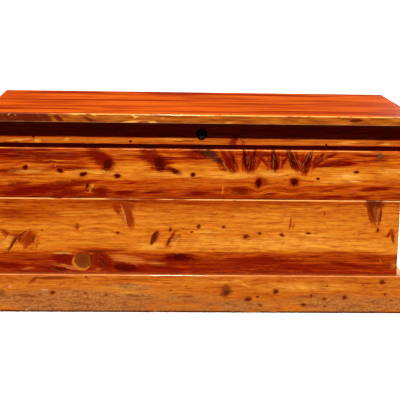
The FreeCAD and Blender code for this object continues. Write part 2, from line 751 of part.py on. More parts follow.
def plinth_board(wall):
    """Makes one plinth board with mitred ends and worn outer arrises."""
    x, y, along, _, _ = WALLS[wall]
    outside = S.case_width if wall in ("front", "back") else S.case_depth
    half = outside / 2 + S.plinth_thickness
    thick = S.plinth_thickness
    board = new_body(f"plinth_{wall}")
    plan = [(-half, ZERO), (half, ZERO), (half - thick, thick), (thick - half, thick)]
    pad(board, outline_sketch(board, "XY_Plane", [plan]), S.plinth_height, "XY_Plane", 1)

    def outer(centre, height):
        return near(centre.y, ZERO) and near(centre.z, height)

    round_edges(board, S.plinth_round, lambda centre, _: outer(centre, S.plinth_height))
    round_edges(board, S.plinth_wear, lambda centre, _: outer(centre, ZERO))
    out_x = {"left": -thick, "right": thick}.get(wall, ZERO)
    out_y = {"front": -thick, "back": thick}.get(wall, ZERO)
    return place(board, x + out_x, y + out_y, ZERO, along)


# ---------------------------------------------------------------------------
# Lid
# ---------------------------------------------------------------------------

# Lid board: near and far edge, grooved at the near edge, tongued at the far edge.
LID_BOARDS = {
    "front": (LID_FRONT, LID_SEAM_NEAR, False, True),
    "middle": (LID_SEAM_NEAR, LID_SEAM_FAR, True, True),
    "back": (LID_SEAM_FAR, BACK, True, False),
}


def lid_board(name):
    """Makes one lid board, with its heights measured from the lid's underside."""
    low, high, grooved, tongued = LID_BOARDS[name]
    tongue_low = (S.lid_thickness - S.tongue_thickness) / 2
    tongue_high = tongue_low + S.tongue_thickness
    points = [(low, ZERO), (high, ZERO)]
    if tongued:
        tip = high + S.tongue_length
        points += [(high, tongue_low), (tip, tongue_low), (tip, tongue_high), (high, tongue_high)]
    points += [(high, S.lid_thickness), (low, S.lid_thickness)]
    if grooved:
        deep = low + S.tongue_length + S.glue_gap
        wide_low = tongue_low - S.glue_gap
        wide_high = tongue_high + S.glue_gap
        points += [(low, wide_high), (deep, wide_high), (deep, wide_low), (low, wide_low)]
    board = new_body(f"lid_{name}_board")
    pad(board, outline_sketch(board, "YZ_Plane", [points]), LID_LENGTH)

    def top_arris(centre, _):
        at_end = near(abs(centre.x), LID_LENGTH / 2)
        at_front = not grooved and near(centre.y, low)
        at_back = not tongued and near(centre.y, high)
        return near(centre.z, S.lid_thickness) and (at_end or at_front or at_back)

    round_edges(board, S.lid_round, top_arris)
    return place(board, ZERO, ZERO, RIM)


def fit_lid(boards):
    """Lets the hinges, the strike, the stay brackets and the battens into the lid."""
    small = S.small_screw_radius + S.screw_play
    wood = S.wood_screw_radius + S.screw_play
    full_depth = S.small_screw_length + S.screw_play

    back = boards["back"]
    half = S.hinge_length / 2 + S.mortise_gap
    reach = BACK - S.leaf_width - S.mortise_gap
    mortises = []
    spots = []
    for side in (-HINGE_X, HINGE_X):
        mortises.append(rectangle(side - half, reach, side + half, BACK))
        spots += [(side + x, BACK - S.leaf_width / 2) for x in LEAF_SCREWS_X]
    drawing = outline_sketch(back, "XY_Plane", mortises)
    cut(back, drawing, S.leaf_thickness, "XY_Plane", 1)
    drill(back, "XY_Plane", spots, small, full_depth, ZERO, 1)

    front = boards["front"]
    strike_y = INNER_FRONT + BOLT_MIDDLE
    half_x = S.strike_length / 2 + S.mortise_gap
    half_y = S.strike_width / 2 + S.mortise_gap
    mortise = rectangle(
        S.catch_shift - half_x, strike_y - half_y, S.catch_shift + half_x, strike_y + half_y
    )
    cut(front, outline_sketch(front, "XY_Plane", [mortise]), S.strike_thickness, "XY_Plane", 1)
    spots = [(S.catch_shift + x, strike_y) for x in (-STRIKE_SCREW_X, STRIKE_SCREW_X)]
    drill(front, "XY_Plane", spots, small, full_depth, ZERO, 1)

    flange_x = INNER_RIGHT - FLANGE_SCREW_X
    rows = (STAY_LID_Y - BRACKET_SCREW, STAY_LID_Y + BRACKET_SCREW)
    depth = S.small_screw_length - S.bracket_thickness + S.screw_play
    for name, (low, high, _, tongued) in LID_BOARDS.items():
        reach = high + S.tongue_length if tongued else high
        over = touching(rows, low, reach, small)
        spots = [(x, y) for x in (-flange_x, flange_x) for y in over]
        if spots:
            drill(boards[name], "XY_Plane", spots, small, depth, ZERO, 1)

    depth = S.batten_screw_length - S.batten_thickness + S.screw_play
    half_pitch = S.batten_screw_pitch / 2
    for name, y in zip(ROWS, BATTEN_SCREWS_Y):
        spots = [
            (side + step, y)
            for side in (-BATTEN_X, BATTEN_X)
            for step in (-half_pitch, half_pitch)
        ]
        drill(boards[name], "XY_Plane", spots, wood, depth, ZERO, 1)


def lid_batten(name, x):
    """Makes one batten across the lid's underside."""
    batten = new_body(f"lid_batten_{name}")
    half = S.batten_width / 2
    outline = rectangle(-half, BATTEN_NEAR, half, BATTEN_FAR)
    drawing = outline_sketch(batten, "XY_Plane", [outline])
    pad(batten, drawing, S.batten_thickness, "XY_Plane", -1)
    round_edges(batten, S.batten_round, lambda centre, _: near(centre.z, -S.batten_thickness))
    half_pitch = S.batten_screw_pitch / 2
    spots = [(step, y) for step in (-half_pitch, half_pitch) for y in BATTEN_SCREWS_Y]
    low = -S.batten_thickness
    screw_holes(batten, "XY_Plane", spots, S.wood_screw_radius, S.wood_screw_head, low, 1)
    return place(batten, x, ZERO, RIM)


# ---------------------------------------------------------------------------
# Hinges: own frame on the hinge axis, X along the pin
# ---------------------------------------------------------------------------


def hinge_leaf(label, x, up, knuckles):
    """Makes a leaf with its knuckles; up is 1 for the lid's leaf and -1 for the case's."""
    leaf = new_body(label)
    face = S.leaf_thickness * up
    low, high = (ZERO, face) if up > 0 else (face, ZERO)
    plate = rectangle(-LEAF_END, low, ZERO, high)
    pad(leaf, outline_sketch(leaf, "YZ_Plane", [plate]), S.hinge_length)
    barrel = circle_sketch(leaf, "YZ_Plane", [(ZERO, ZERO)], S.barrel_radius)
    pad(leaf, barrel, S.hinge_length)
    count = len(CASE_KNUCKLES + LID_KNUCKLES)
    pitch = S.hinge_length / count
    openings = []
    for index in range(count):
        if index in knuckles:
            continue
        start = pitch * index - S.hinge_length / 2 - S.knuckle_gap
        end = start + pitch + S.knuckle_gap * 2
        openings.append(rectangle(start, -HINGE_REACH, end, S.barrel_radius * 2))
    cut(leaf, outline_sketch(leaf, "XY_Plane", openings))
    bore = S.hinge_pin_radius + S.pin_play
    cut(leaf, circle_sketch(leaf, "YZ_Plane", [(ZERO, ZERO)], bore))
    spots = [(step, -LEAF_SCREW_Y) for step in LEAF_SCREWS_X]
    screw_holes(leaf, "XY_Plane", spots, S.small_screw_radius, S.small_screw_head, ZERO, up)
    return place(leaf, x, HINGE_Y, RIM)


def hinge_pin(label, x):
    """Makes a hinge pin with a small head at each end."""
    pin = new_body(label)
    shank = S.hinge_length / 2 + S.knuckle_gap
    end = shank + S.hinge_pin_radius
    head = S.barrel_radius - S.barrel_gap
    points = [
        (-end, ZERO),
        (-end, S.hinge_pin_radius),
        (-shank, head),
        (-shank, S.hinge_pin_radius),
        (shank, S.hinge_pin_radius),
        (shank, head),
        (end, S.hinge_pin_radius),
        (end, ZERO),
    ]
    turn_profile(pin, points, "XY_Plane", "X_Axis")
    return place(pin, x, HINGE_Y, RIM)


# ---------------------------------------------------------------------------
# Lock: own frame at its centre on the inner face of the front rail
# ---------------------------------------------------------------------------


def lock_escutcheon():
    """Makes the round escutcheon with the sleeve that the cylinder turns in."""
    piece = new_body("lock_escutcheon")
    bore = S.cylinder_radius + S.pin_play
    face = -T - S.escutcheon_thickness
    ease = S.escutcheon_thickness / 2
    points = [
        (bore, face),
        (S.escutcheon_radius - ease, face),
        (S.escutcheon_radius, face + ease),
        (S.escutcheon_radius, -T),
        (S.sleeve_radius, -T),
        (S.sleeve_radius, ZERO),
        (bore, ZERO),
    ]
    turn_profile(piece, points, "XY_Plane", "Y_Axis")
    return place(piece, ZERO, INNER_FRONT, LOCK_Z)


def lock_cylinder():
    """Makes the cylinder with its keyway, its collar and the pin that drives the bolt."""
    piece = new_body("lock_cylinder")
    face = -T - S.escutcheon_thickness - S.cylinder_stand
    collar_back = S.bolt_play + S.collar_thickness
    points = [
        (ZERO, face),
        (S.cylinder_radius, face),
        (S.cylinder_radius, S.bolt_play),
        (S.collar_radius, S.bolt_play),
        (S.collar_radius, collar_back),
        (ZERO, collar_back),
    ]
    turn_profile(piece, points, "XY_Plane", "Y_Axis")
    keyway = centred(S.keyway_width / 2, S.keyway_height / 2)
    drawing = outline_sketch(piece, "XZ_Plane", [keyway], face)
    cut(piece, drawing, S.keyway_depth, "XZ_Plane", 1)
    spot = [(-CRANK_OUT, CRANK_OUT)]
    drawing = circle_sketch(piece, "XZ_Plane", spot, S.drive_pin_radius, collar_back)
    pad(piece, drawing, BOLT_BACK - S.bolt_play - collar_back, "XZ_Plane", 1)
    return place(piece, ZERO, INNER_FRONT, LOCK_Z)


def lock_case():
    """Makes the lock case: a tray against the rail, with ears, a shelf and catch slots."""
    piece = new_body("lock_case")
    half = S.lock_case_width / 2
    head = S.lock_drop - S.lid_gap
    foot = -S.lock_case_below
    wall = S.lock_case_wall
    ears = rectangle(-half - S.lock_ear, -S.lock_ear, half + S.lock_ear, S.lock_ear)
    pad(piece, outline_sketch(piece, "XZ_Plane", [ears]), wall, "XZ_Plane", 1)
    tray = rectangle(-half, foot, half, head)
    pad(piece, outline_sketch(piece, "XZ_Plane", [tray]), S.lock_case_depth, "XZ_Plane", 1)
    cavity = rectangle(wall - half, foot + wall, half - wall, head - wall)
    cut(piece, outline_sketch(piece, "XZ_Plane", [cavity]), LOCK_CAVITY, "XZ_Plane", 1)
    shelf_top = BOLT_LOW - S.shelf_gap
    shelf = rectangle(wall - half, shelf_top - S.shelf_thickness, half - wall, shelf_top)
    drawing = outline_sketch(piece, "XZ_Plane", [shelf], LOCK_CAVITY)
    pad(piece, drawing, LOCK_CAVITY - S.bolt_set_back, "XZ_Plane", -1)
    slots = []
    for x in CATCHES_X:
        reach = S.catch_thickness / 2 + S.slot_play
        slot_near = BOLT_MIDDLE - S.catch_width / 2 - S.slot_play
        slots.append(rectangle(x - reach, slot_near, x + reach, LOCK_CAVITY))
    drawing = outline_sketch(piece, "XY_Plane", slots, head)
    cut(piece, drawing, wall, "XY_Plane", -1)
    spots = [(-EAR_X, ZERO), (EAR_X, ZERO)]
    screw_holes(piece, "XZ_Plane", spots, S.small_screw_radius, S.small_screw_head, wall, -1)
    return place(piece, ZERO, INNER_FRONT, LOCK_Z)


def lock_bolt():
    """Makes the bolt: a slotted bar with two prongs that enter the catches."""
    piece = new_body("lock_bolt")
    tips = [x - S.catch_thickness / 2 - S.bolt_rest_gap for x in CATCHES_X]
    roots = [tip - PRONG_LENGTH for tip in tips]
    posts = [root - S.bolt_thickness for root in roots]
    outline = [
        (posts[0], BOLT_LOW),
        (roots[1], BOLT_LOW),
        (roots[1], PRONG_LOW),
        (tips[1], PRONG_LOW),
        (tips[1], PRONG_HIGH),
        (posts[1], PRONG_HIGH),
        (posts[1], BOLT_HIGH),
        (roots[0], BOLT_HIGH),
        (roots[0], PRONG_LOW),
        (tips[0], PRONG_LOW),
        (tips[0], PRONG_HIGH),
        (posts[0], PRONG_HIGH),
    ]
    drawing = outline_sketch(piece, "XZ_Plane", [outline], S.bolt_set_back)
    pad(piece, drawing, S.bolt_thickness, "XZ_Plane", 1)
    half_slot = S.drive_pin_radius + S.bolt_play
    slot = rectangle(
        -CRANK_OUT - half_slot,
        BOLT_LOW + S.bolt_web,
        half_slot - CRANK_OUT,
        BOLT_HIGH - S.bolt_web,
    )
    cut(piece, outline_sketch(piece, "XZ_Plane", [slot]))
    return place(piece, ZERO, INNER_FRONT, LOCK_Z)


def lock_strike():
    """Makes the strike: a plate let into the lid, with two eyed catches below it."""
    piece = new_body("lock_strike")
    half_x = S.strike_length / 2
    half_y = S.strike_width / 2
    plate = rectangle(
        S.catch_shift - half_x, BOLT_MIDDLE - half_y, S.catch_shift + half_x, BOLT_MIDDLE + half_y
    )
    drawing = outline_sketch(piece, "XY_Plane", [plate], S.lock_drop)
    pad(piece, drawing, S.strike_thickness, "XY_Plane", 1)
    half = S.catch_thickness / 2
    width = S.catch_width / 2
    low = BOLT_MIDDLE - width
    high = BOLT_MIDDLE + width
    catches = [rectangle(x - half, low, x + half, high) for x in CATCHES_X]
    drawing = outline_sketch(piece, "XY_Plane", catches, S.lock_drop)
    pad(piece, drawing, S.catch_length, "XY_Plane", -1)
    eye = rectangle(
        S.bolt_set_back - S.bolt_play, EYE_LOW, BOLT_BACK + S.bolt_play, PRONG_HIGH + S.bolt_play
    )
    cut(piece, outline_sketch(piece, "YZ_Plane", [eye]))
    spots = [(S.catch_shift + x, BOLT_MIDDLE) for x in (-STRIKE_SCREW_X, STRIKE_SCREW_X)]
    head = S.small_screw_head
    screw_holes(piece, "XY_Plane", spots, S.small_screw_radius, head, S.lock_drop, 1)
    return place(piece, ZERO, INNER_FRONT, LOCK_Z)


# ---------------------------------------------------------------------------
# Stays: own frames with X = 0 on the side wall; inward is 1 on the left, -1 on the right
# ---------------------------------------------------------------------------


def stay_case_bracket(side, inward):
    """Makes the bracket on the side wall with the lower arm's pin."""
    piece = new_body(f"stay_case_bracket_{side}")
    plate = centred(S.bracket_width / 2, S.bracket_height / 2)
    drawing = outline_sketch(piece, "YZ_Plane", [plate])
    pad(piece, drawing, S.bracket_thickness, "YZ_Plane", inward)
    at = S.bracket_thickness * inward
    drawing = circle_sketch(piece, "YZ_Plane", [(ZERO, ZERO)], S.stay_pin_radius, at)
    pad(piece, drawing, S.arm_gap + S.arm_thickness, "YZ_Plane", inward)
    spots = [(ZERO, -BRACKET_SCREW), (ZERO, BRACKET_SCREW)]
    radius = S.small_screw_radius
    screw_holes(piece, "YZ_Plane", spots, radius, S.small_screw_head, at, -inward)
    return place(piece, -INNER_RIGHT * inward, STAY_CASE_Y, STAY_CASE_Z)


def stay_lower_arm(side, inward):
    """Makes the arm from the case pin to the elbow, with the elbow's pin."""
    piece = new_body(f"stay_lower_arm_{side}")
    elbow = (-S.stay_reach, -S.stay_pin_drop)
    at = LOWER_ARM_X * inward
    drawing = new_sketch(piece, "YZ_Plane", at)
    draw_bar(drawing, elbow, S.arm_width / 2)
    pad(piece, drawing, S.arm_thickness, "YZ_Plane", inward)
    bore = S.stay_pin_radius + S.pin_play
    cut(piece, circle_sketch(piece, "YZ_Plane", [(ZERO, ZERO)], bore, at))
    at = (LOWER_ARM_X + S.arm_thickness) * inward
    drawing = circle_sketch(piece, "YZ_Plane", [elbow], S.stay_pin_radius, at)
    length = S.arm_gap + S.arm_thickness + S.arm_gap / 2
    pad(piece, drawing, length, "YZ_Plane", inward)
    return place(piece, -INNER_RIGHT * inward, STAY_CASE_Y, STAY_CASE_Z)


def stay_upper_arm(side, inward):
    """Makes the arm from the elbow to the lid pin."""
    piece = new_body(f"stay_upper_arm_{side}")
    lid_pin = (S.stay_case_reach, S.stay_case_drop)
    at = UPPER_ARM_X * inward
    drawing = new_sketch(piece, "YZ_Plane", at)
    draw_bar(drawing, lid_pin, S.arm_width / 2)
    pad(piece, drawing, S.arm_thickness, "YZ_Plane", inward)
    bore = S.stay_pin_radius + S.pin_play
    cut(piece, circle_sketch(piece, "YZ_Plane", [(ZERO, ZERO), lid_pin], bore, at))
    return place(piece, -INNER_RIGHT * inward, ELBOW_Y, ELBOW_Z)


def stay_lid_bracket(side, inward):
    """Makes the angle bracket under the lid with the upper arm's pin."""
    piece = new_body(f"stay_lid_bracket_{side}")
    start = LID_LEG_X
    end = start + S.bracket_thickness + S.lid_flange
    half = S.bracket_height / 2
    flange_section = [
        (start * inward, -S.bracket_thickness),
        (end * inward, -S.bracket_thickness),
        (end * inward, ZERO),
        (start * inward, ZERO),
    ]
    pad(piece, outline_sketch(piece, "XZ_Plane", [flange_section]), half * 2)
    leg_foot = -S.stay_pin_drop - S.arm_width / 2
    leg = rectangle(-S.bracket_width / 2, leg_foot, S.bracket_width / 2, ZERO)
    drawing = outline_sketch(piece, "YZ_Plane", [leg], start * inward)
    pad(piece, drawing, S.bracket_thickness, "YZ_Plane", inward)
    spot = [(ZERO, -S.stay_pin_drop)]
    drawing = circle_sketch(piece, "YZ_Plane", spot, S.stay_pin_radius, start * inward)
    length = S.arm_gap + S.arm_thickness + S.arm_gap / 2
    pad(piece, drawing, length, "YZ_Plane", -inward)
    spots = [(FLANGE_SCREW_X * inward, y) for y in (-BRACKET_SCREW, BRACKET_SCREW)]
    at = -S.bracket_thickness
    screw_holes(piece, "XY_Plane", spots, S.small_screw_radius, S.small_screw_head, at, 1)
    return place(piece, -INNER_RIGHT * inward, STAY_LID_Y, RIM)


# ---------------------------------------------------------------------------
# Screws and plug
# ---------------------------------------------------------------------------


def screw_shape(radius, head_radius, length):
    """Makes a countersunk, slotted screw that points down from its head at the origin."""
    cone = head_radius - radius
    tip = radius * 2
    shank = length - cone - tip
    down = Vector(0, 0, -1)
    head = Part.makeCone(head_radius, radius, cone, Vector(0, 0, 0), down)
    body = Part.makeCylinder(radius, shank, Vector(0, 0, -cone), down)
    point = Part.makeCone(radius, radius / 8, tip, Vector(0, 0, -cone - shank), down)
    screw = head.fuse([body, point]).removeSplitter()
    slot_width = radius / 2
    slot = Part.makeBox(head_radius * 2, slot_width, cone / 2)
    slot.translate(Vector(-head_radius, -slot_width / 2, -cone / 2))
    return screw.cut(slot)


def screw_group(label, radius, head_radius, length, places):
    """Makes one node of equal screws from their head centres and directions."""
    screw = screw_shape(radius.value, head_radius.value, length.value)
    copies = []
    for point, direction in places:
        base = Vector(*[size.value for size in point])
        turn = Rotation(Vector(0, 0, -1), Vector(*direction))
        copies.append(screw.transformed(Placement(base, turn).toMatrix()))
    group = DOCUMENT.addObject("Part::Feature", label)
    group.Label = label
    group.Shape = Part.makeCompound(copies)
    return group


def post_screw_places():
    """Lists the screws through the corner posts into both walls."""
    places = []
    for x, y, (cosine, sine) in CORNERS.values():
        def from_corner(across, along, x=x, y=y, cosine=cosine, sine=sine):
            return x + across * cosine - along * sine, y + across * sine + along * cosine

        for height in POST_SCREW_HEIGHTS.values():
            spot = from_corner(HALF_POST, S.post_size)
            places.append(((*spot, height + HALF_STAGGER), (sine, -cosine, 0)))
            spot = from_corner(S.post_size, HALF_POST)
            places.append(((*spot, height - HALF_STAGGER), (-cosine, -sine, 0)))
    return places


def floor_screw_places():
    """Lists the screws through the floor boards and through the side cleats."""
    places = []
    for index in range(len(ROWS)):
        y = FLOOR_NEAR + FLOOR_PITCH * index + FLOOR_PITCH / 2
        places += [((x, y, FLOOR_TOP), (0, 0, -1)) for x in (-SUPPORT_X, ZERO, SUPPORT_X)]
    height = CLEAT_FOOT + S.cleat_height / 2
    cleat_face = INNER_RIGHT - S.cleat_width
    for y in (MIDDLE_Y - FLOOR_PITCH / 2, MIDDLE_Y + FLOOR_PITCH / 2):
        places.append(((-cleat_face, y, height), (-1, 0, 0)))
        places.append(((cleat_face, y, height), (1, 0, 0)))
    return places


def case_fitting_places():
    """Lists the small screws of the hinges, the lock case and the stays on the case."""
    places = []
    for side in (-HINGE_X, HINGE_X):
        y = HINGE_Y - LEAF_SCREW_Y
        places += [((side + x, y, RIM), (0, 0, -1)) for x in LEAF_SCREWS_X]
    lock_y = INNER_FRONT + S.lock_case_wall
    places += [((x, lock_y, LOCK_Z), (0, -1, 0)) for x in (-EAR_X, EAR_X)]
    face = INNER_RIGHT - S.bracket_thickness
    for z in (STAY_CASE_Z - BRACKET_SCREW, STAY_CASE_Z + BRACKET_SCREW):
        places.append(((-face, STAY_CASE_Y, z), (-1, 0, 0)))
        places.append(((face, STAY_CASE_Y, z), (1, 0, 0)))
    return places


def lid_fitting_places():
    """Lists the small screws of the hinges, the strike and the stays on the lid."""
    up = (0, 0, 1)
    places = []
    for side in (-HINGE_X, HINGE_X):
        y = HINGE_Y - LEAF_SCREW_Y
        places += [((side + x, y, RIM), up) for x in LEAF_SCREWS_X]
    strike_y = INNER_FRONT + BOLT_MIDDLE
    places += [((S.catch_shift + x, strike_y, RIM), up) for x in (-STRIKE_SCREW_X, STRIKE_SCREW_X)]
    flange_x = INNER_RIGHT - FLANGE_SCREW_X
    z = RIM - S.bracket_thickness
    for y in (STAY_LID_Y - BRACKET_SCREW, STAY_LID_Y + BRACKET_SCREW):
        places += [((x, y, z), up) for x in (-flange_x, flange_x)]
    return places


def batten_screw_places():
    """Lists the screws through the battens into the lid boards."""
    half_pitch = S.batten_screw_pitch / 2
    z = RIM - S.batten_thickness
    return [
        ((side + step, y, z), (0, 0, 1))
        for side in (-BATTEN_X, BATTEN_X)
        for step in (-half_pitch, half_pitch)
        for y in BATTEN_SCREWS_Y
    ]


def front_plug():
    """Makes the filler plug near the right-hand end of the front."""
    plug = new_body("front_plug")
    drawing = circle_sketch(plug, "XZ_Plane", [(ZERO, ZERO)], S.plug_radius, S.plug_depth)
    pad(plug, drawing, S.plug_depth + S.plug_stand, "XZ_Plane", -1)
    return place(plug, PLUG_X, FRONT, PLUG_Z)


# ---------------------------------------------------------------------------
# Assembly, check and export
# ---------------------------------------------------------------------------


def build_case():
    """Makes everything that stays with the case."""
    boards = build_walls()
    fit_front(boards)
    fit_back(boards)
    fit_sides(boards)
    pieces = list(boards.values())
    pieces += [corner_post(corner) for corner in CORNERS]
    pieces += [floor_board(name, index) for index, name in enumerate(ROWS)]
    pieces.append(floor_support("floor_cleat_left", -INNER_RIGHT, (1, 0), True))
    pieces.append(floor_support("floor_cleat_right", INNER_RIGHT, (-1, 0), True))
    pieces.append(floor_support("floor_bearer", ZERO, (1, 0), False))
    pieces += [plinth_board(wall) for wall in WALLS]
    pieces += [lock_escutcheon(), lock_case(), front_plug()]
    wood = (S.wood_screw_radius, S.wood_screw_head, S.wood_screw_length)
    places = post_screw_places() + floor_screw_places()
    pieces.append(screw_group("case_wood_screws", *wood, places))
    small = (S.small_screw_radius, S.small_screw_head, S.small_screw_length)
    pieces.append(screw_group("case_fitting_screws", *small, case_fitting_places()))
    return pieces


def build_lid():
    """Makes everything that turns with the lid."""
    boards = {name: lid_board(name) for name in LID_BOARDS}
    fit_lid(boards)
    pieces = list(boards.values())
    pieces.append(lid_batten("left", -BATTEN_X))
    pieces.append(lid_batten("right", BATTEN_X))
    pieces.append(lock_strike())
    batten = (S.wood_screw_radius, S.wood_screw_head, S.batten_screw_length)
    pieces.append(screw_group("lid_batten_screws", *batten, batten_screw_places()))
    small = (S.small_screw_radius, S.small_screw_head, S.small_screw_length)
    pieces.append(screw_group("lid_fitting_screws", *small, lid_fitting_places()))
    return pieces


def build_moving_fittings():
    """Makes the hinges, the moving lock pieces and the stays."""
    pieces = [lock_cylinder(), lock_bolt()]
    for side, x in (("left", -HINGE_X), ("right", HINGE_X)):
        pieces.append(hinge_leaf(f"hinge_case_leaf_{side}", x, -1, CASE_KNUCKLES))
        pieces.append(hinge_leaf(f"hinge_lid_leaf_{side}", x, 1, LID_KNUCKLES))
        pieces.append(hinge_pin(f"hinge_pin_{side}", x))
    for side, inward in (("left", 1), ("right", -1)):
        pieces.append(stay_case_bracket(side, inward))
        pieces.append(stay_lower_arm(side, inward))
        pieces.append(stay_upper_arm(side, inward))
        pieces.append(stay_lid_bracket(side, inward))
    return pieces


def check_document(pieces):
    """Stops if any object failed or any piece has no valid shape."""
    for item in DOCUMENT.Objects:
        if "Invalid" in item.State or "Error" in item.State:
            raise ValueError(f"{item.Label} failed: {item.State}")
    for piece in pieces:
        if piece.Shape.isNull() or not piece.Shape.isValid():
            raise ValueError(f"{piece.Label} has no valid shape")


def export(pieces):
    """Writes each piece to its own file."""
    os.makedirs("parts", exist_ok=True)
    for piece in pieces:
        piece.Shape.exportStep(f"parts/{piece.Label}.step")
    print(f"{len(pieces)} pieces written")


PIECES = build_case() + build_lid() + build_moving_fittings()
DOCUMENT.recompute()
check_document(PIECES)
export(PIECES)
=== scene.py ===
"""A cedar blanket chest: the finish of every board and fitting, and the studio that it stands in."""

from __future__ import annotations

import logging
import math
from dataclasses import dataclass, replace
from enum import Enum
from functools import reduce
from typing import Any, Iterable, Sequence

import bpy
import numpy as np
from mathutils import Matrix, Vector


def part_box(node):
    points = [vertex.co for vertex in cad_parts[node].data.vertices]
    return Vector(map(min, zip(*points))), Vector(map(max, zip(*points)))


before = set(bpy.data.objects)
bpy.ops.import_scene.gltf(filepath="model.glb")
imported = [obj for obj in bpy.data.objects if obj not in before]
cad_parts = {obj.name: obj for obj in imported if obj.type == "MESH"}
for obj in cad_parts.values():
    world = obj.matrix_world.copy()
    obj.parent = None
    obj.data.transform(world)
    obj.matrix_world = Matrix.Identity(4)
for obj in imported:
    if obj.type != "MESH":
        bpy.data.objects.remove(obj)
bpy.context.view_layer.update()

LOG = logging.getLogger("chest")
Paint = tuple[float, float, float, float]
Triple = tuple[float, float, float]
Tone = tuple[int, int, int]
Pair = tuple[float, float]
Socket = bpy.types.NodeSocket
MILLIMETRES = 1000.0
FAR = 1.0e6  # millimetres, where a pattern doesn't change along an axis
STEEP = 25.0  # degrees from the grain past which an oval counts as crossing it
RIM = 1.5  # how far past its rim an oval is felt
KNOT_RIM = 4.0  # how far past its rim a knot bends the grain
FEATHER = 2.6  # how strongly lines break an oval up
VARNISH_END = 3.0  # millimetres before a wall's inner face where the varnish begins to fade
BARE_START = 0.4  # millimetres before it where the wood is bare
FACE_PER_KNOT = 14000.0  # square millimetres of a board's face for each pin knot that grows


def paint(red: float, green: float, blue: float) -> Paint:
    """Turns a colour's display values into linear light.

    Args:
        red: Share of red, 0 to 255.
        green: Share of green, 0 to 255.
        blue: Share of blue, 0 to 255.

    Returns:
        The colour as four linear numbers, opaque.
    """
    shares = (value / 255.0 for value in (red, green, blue))
    linear = [s / 12.92 if s <= 0.04045 else ((s + 0.055) / 1.055) ** 2.4 for s in shares]
    return (linear[0], linear[1], linear[2], 1.0)


# ---------------------------------------------------------------- shader language


class Signal:
    """A number that changes over a surface: a socket whose operators add Math nodes."""

    def __init__(self, recipe: Recipe, socket: Socket) -> None:
        """Keeps the recipe that new nodes go into, and the socket."""
        self.recipe = recipe
        self.socket = socket

    def __add__(self, other: Signal | float) -> Signal:
        """This number plus another."""
        return self.recipe.math("ADD", self, other)

    def __radd__(self, other: float) -> Signal:
        """Another number plus this one."""
        return self.recipe.math("ADD", other, self)

    def __sub__(self, other: Signal | float) -> Signal:
        """This number less another."""
        return self.recipe.math("SUBTRACT", self, other)

    def __rsub__(self, other: float) -> Signal:
        """Another number less this one."""
        return self.recipe.math("SUBTRACT", other, self)

    def __mul__(self, other: Signal | float) -> Signal:
        """This number times another."""
        return self.recipe.math("MULTIPLY", self, other)

    def __rmul__(self, other: float) -> Signal:
        """Another number times this one."""
        return self.recipe.math("MULTIPLY", other, self)

    def most(self, other: Signal | float) -> Signal:
        """The larger of this number and another."""
        return self.recipe.math("MAXIMUM", self, other)

    def step(self, start: float, end: float, top: float = 1.0) -> Signal:
        """Rises smoothly from 0 where this number is start to top where it is end.

        Args:
            start: The value that gives 0; it may be the larger of the two.
            end: The value that gives top.
            top: The height of the step.

        Returns:
            The step as a new signal.
        """
        return self.recipe.value(
            "MapRange",
            {"interpolation_type": "SMOOTHSTEP"},
            {"Value": self, "From Min": start, "From Max": end, "To Max": top},
        )


def largest(signals: Iterable[Signal | None]) -> Signal | None:
    """The largest of some signals at each place, or None where there are none."""
    found = [signal for signal in signals if signal is not None]
    return reduce(Signal.most, found) if found else None


class Noise(Enum):
    """Named noises: cells per unit along each axis, seed, finer layers and their strength."""

    BROAD = ((0.0024, 0.035, 0.02), 1.0, 2.0, 0.5)
    STREAK = ((0.006, 0.17, 0.06), 2.0, 4.0, 0.62)
    FINE = ((0.02, 0.8, 0.3), 3.0, 3.0, 0.6)
    RAISED = ((0.02, 0.8, 0.5), 4.0, 3.0, 0.6)
    RIPPLE = ((0.012, 0.05, 0.05), 5.0, 1.0, 0.5)
    MOTTLE = ((0.05, 0.13, 0.1), 6.0, 4.0, 0.7)
    GLINT_HAIR = ((0.035, 1.0, 0.4), 8.0, 2.0, 0.5)
    GLINT_GROUP = ((0.012, 0.06, 0.05), 9.0, 1.0, 0.5)
    VEIN = ((0.7, 4.6, 0.0), 0.0, 2.0, 0.6)
    HATCH = ((1.3, 6.5, 0.0), 40.0, 2.0, 0.6)
    KNOT = ((0.26, 0.3, 0.2), 3.1, 3.0, 0.6)
    PUFF = ((0.12, 0.3, 0.1), 5.5, 3.0, 0.65)
    FIBRE = ((0.03, 0.5, 0.1), 5.9, 3.0, 0.6)
    COLLAR = ((0.06, 0.3, 0.1), 2.2, 3.0, 0.6)
    SPECK = ((0.15, 0.3, 0.3), 6.1, 4.0, 0.75)
    PATCH = ((0.01, 0.04, 0.05), 6.9, 3.0, 0.6)
    BLOT = ((0.035, 0.15, 0.1), 7.3, 3.0, 0.65)
    BREAKS = ((1.0, 0.02, 0.02), 0.0, 3.0, 0.7)
    EDGE = ((0.02, 0.16, 0.1), 8.8, 4.0, 0.65)
    TARNISH = ((0.06, 0.06, 0.06), 0.0, 4.0, 0.6)
    SCRATCH = ((0.12, 2.6, 2.6), 1.0, 3.0, 0.6)
    PIT = ((0.9, 0.9, 0.9), 2.0, 2.0, 0.5)
    PASTE = ((0.35, 0.35, 0.35), 3.0, 4.0, 0.6)
    GRIT = ((1.6, 1.6, 1.6), 5.0, 2.0, 0.5)


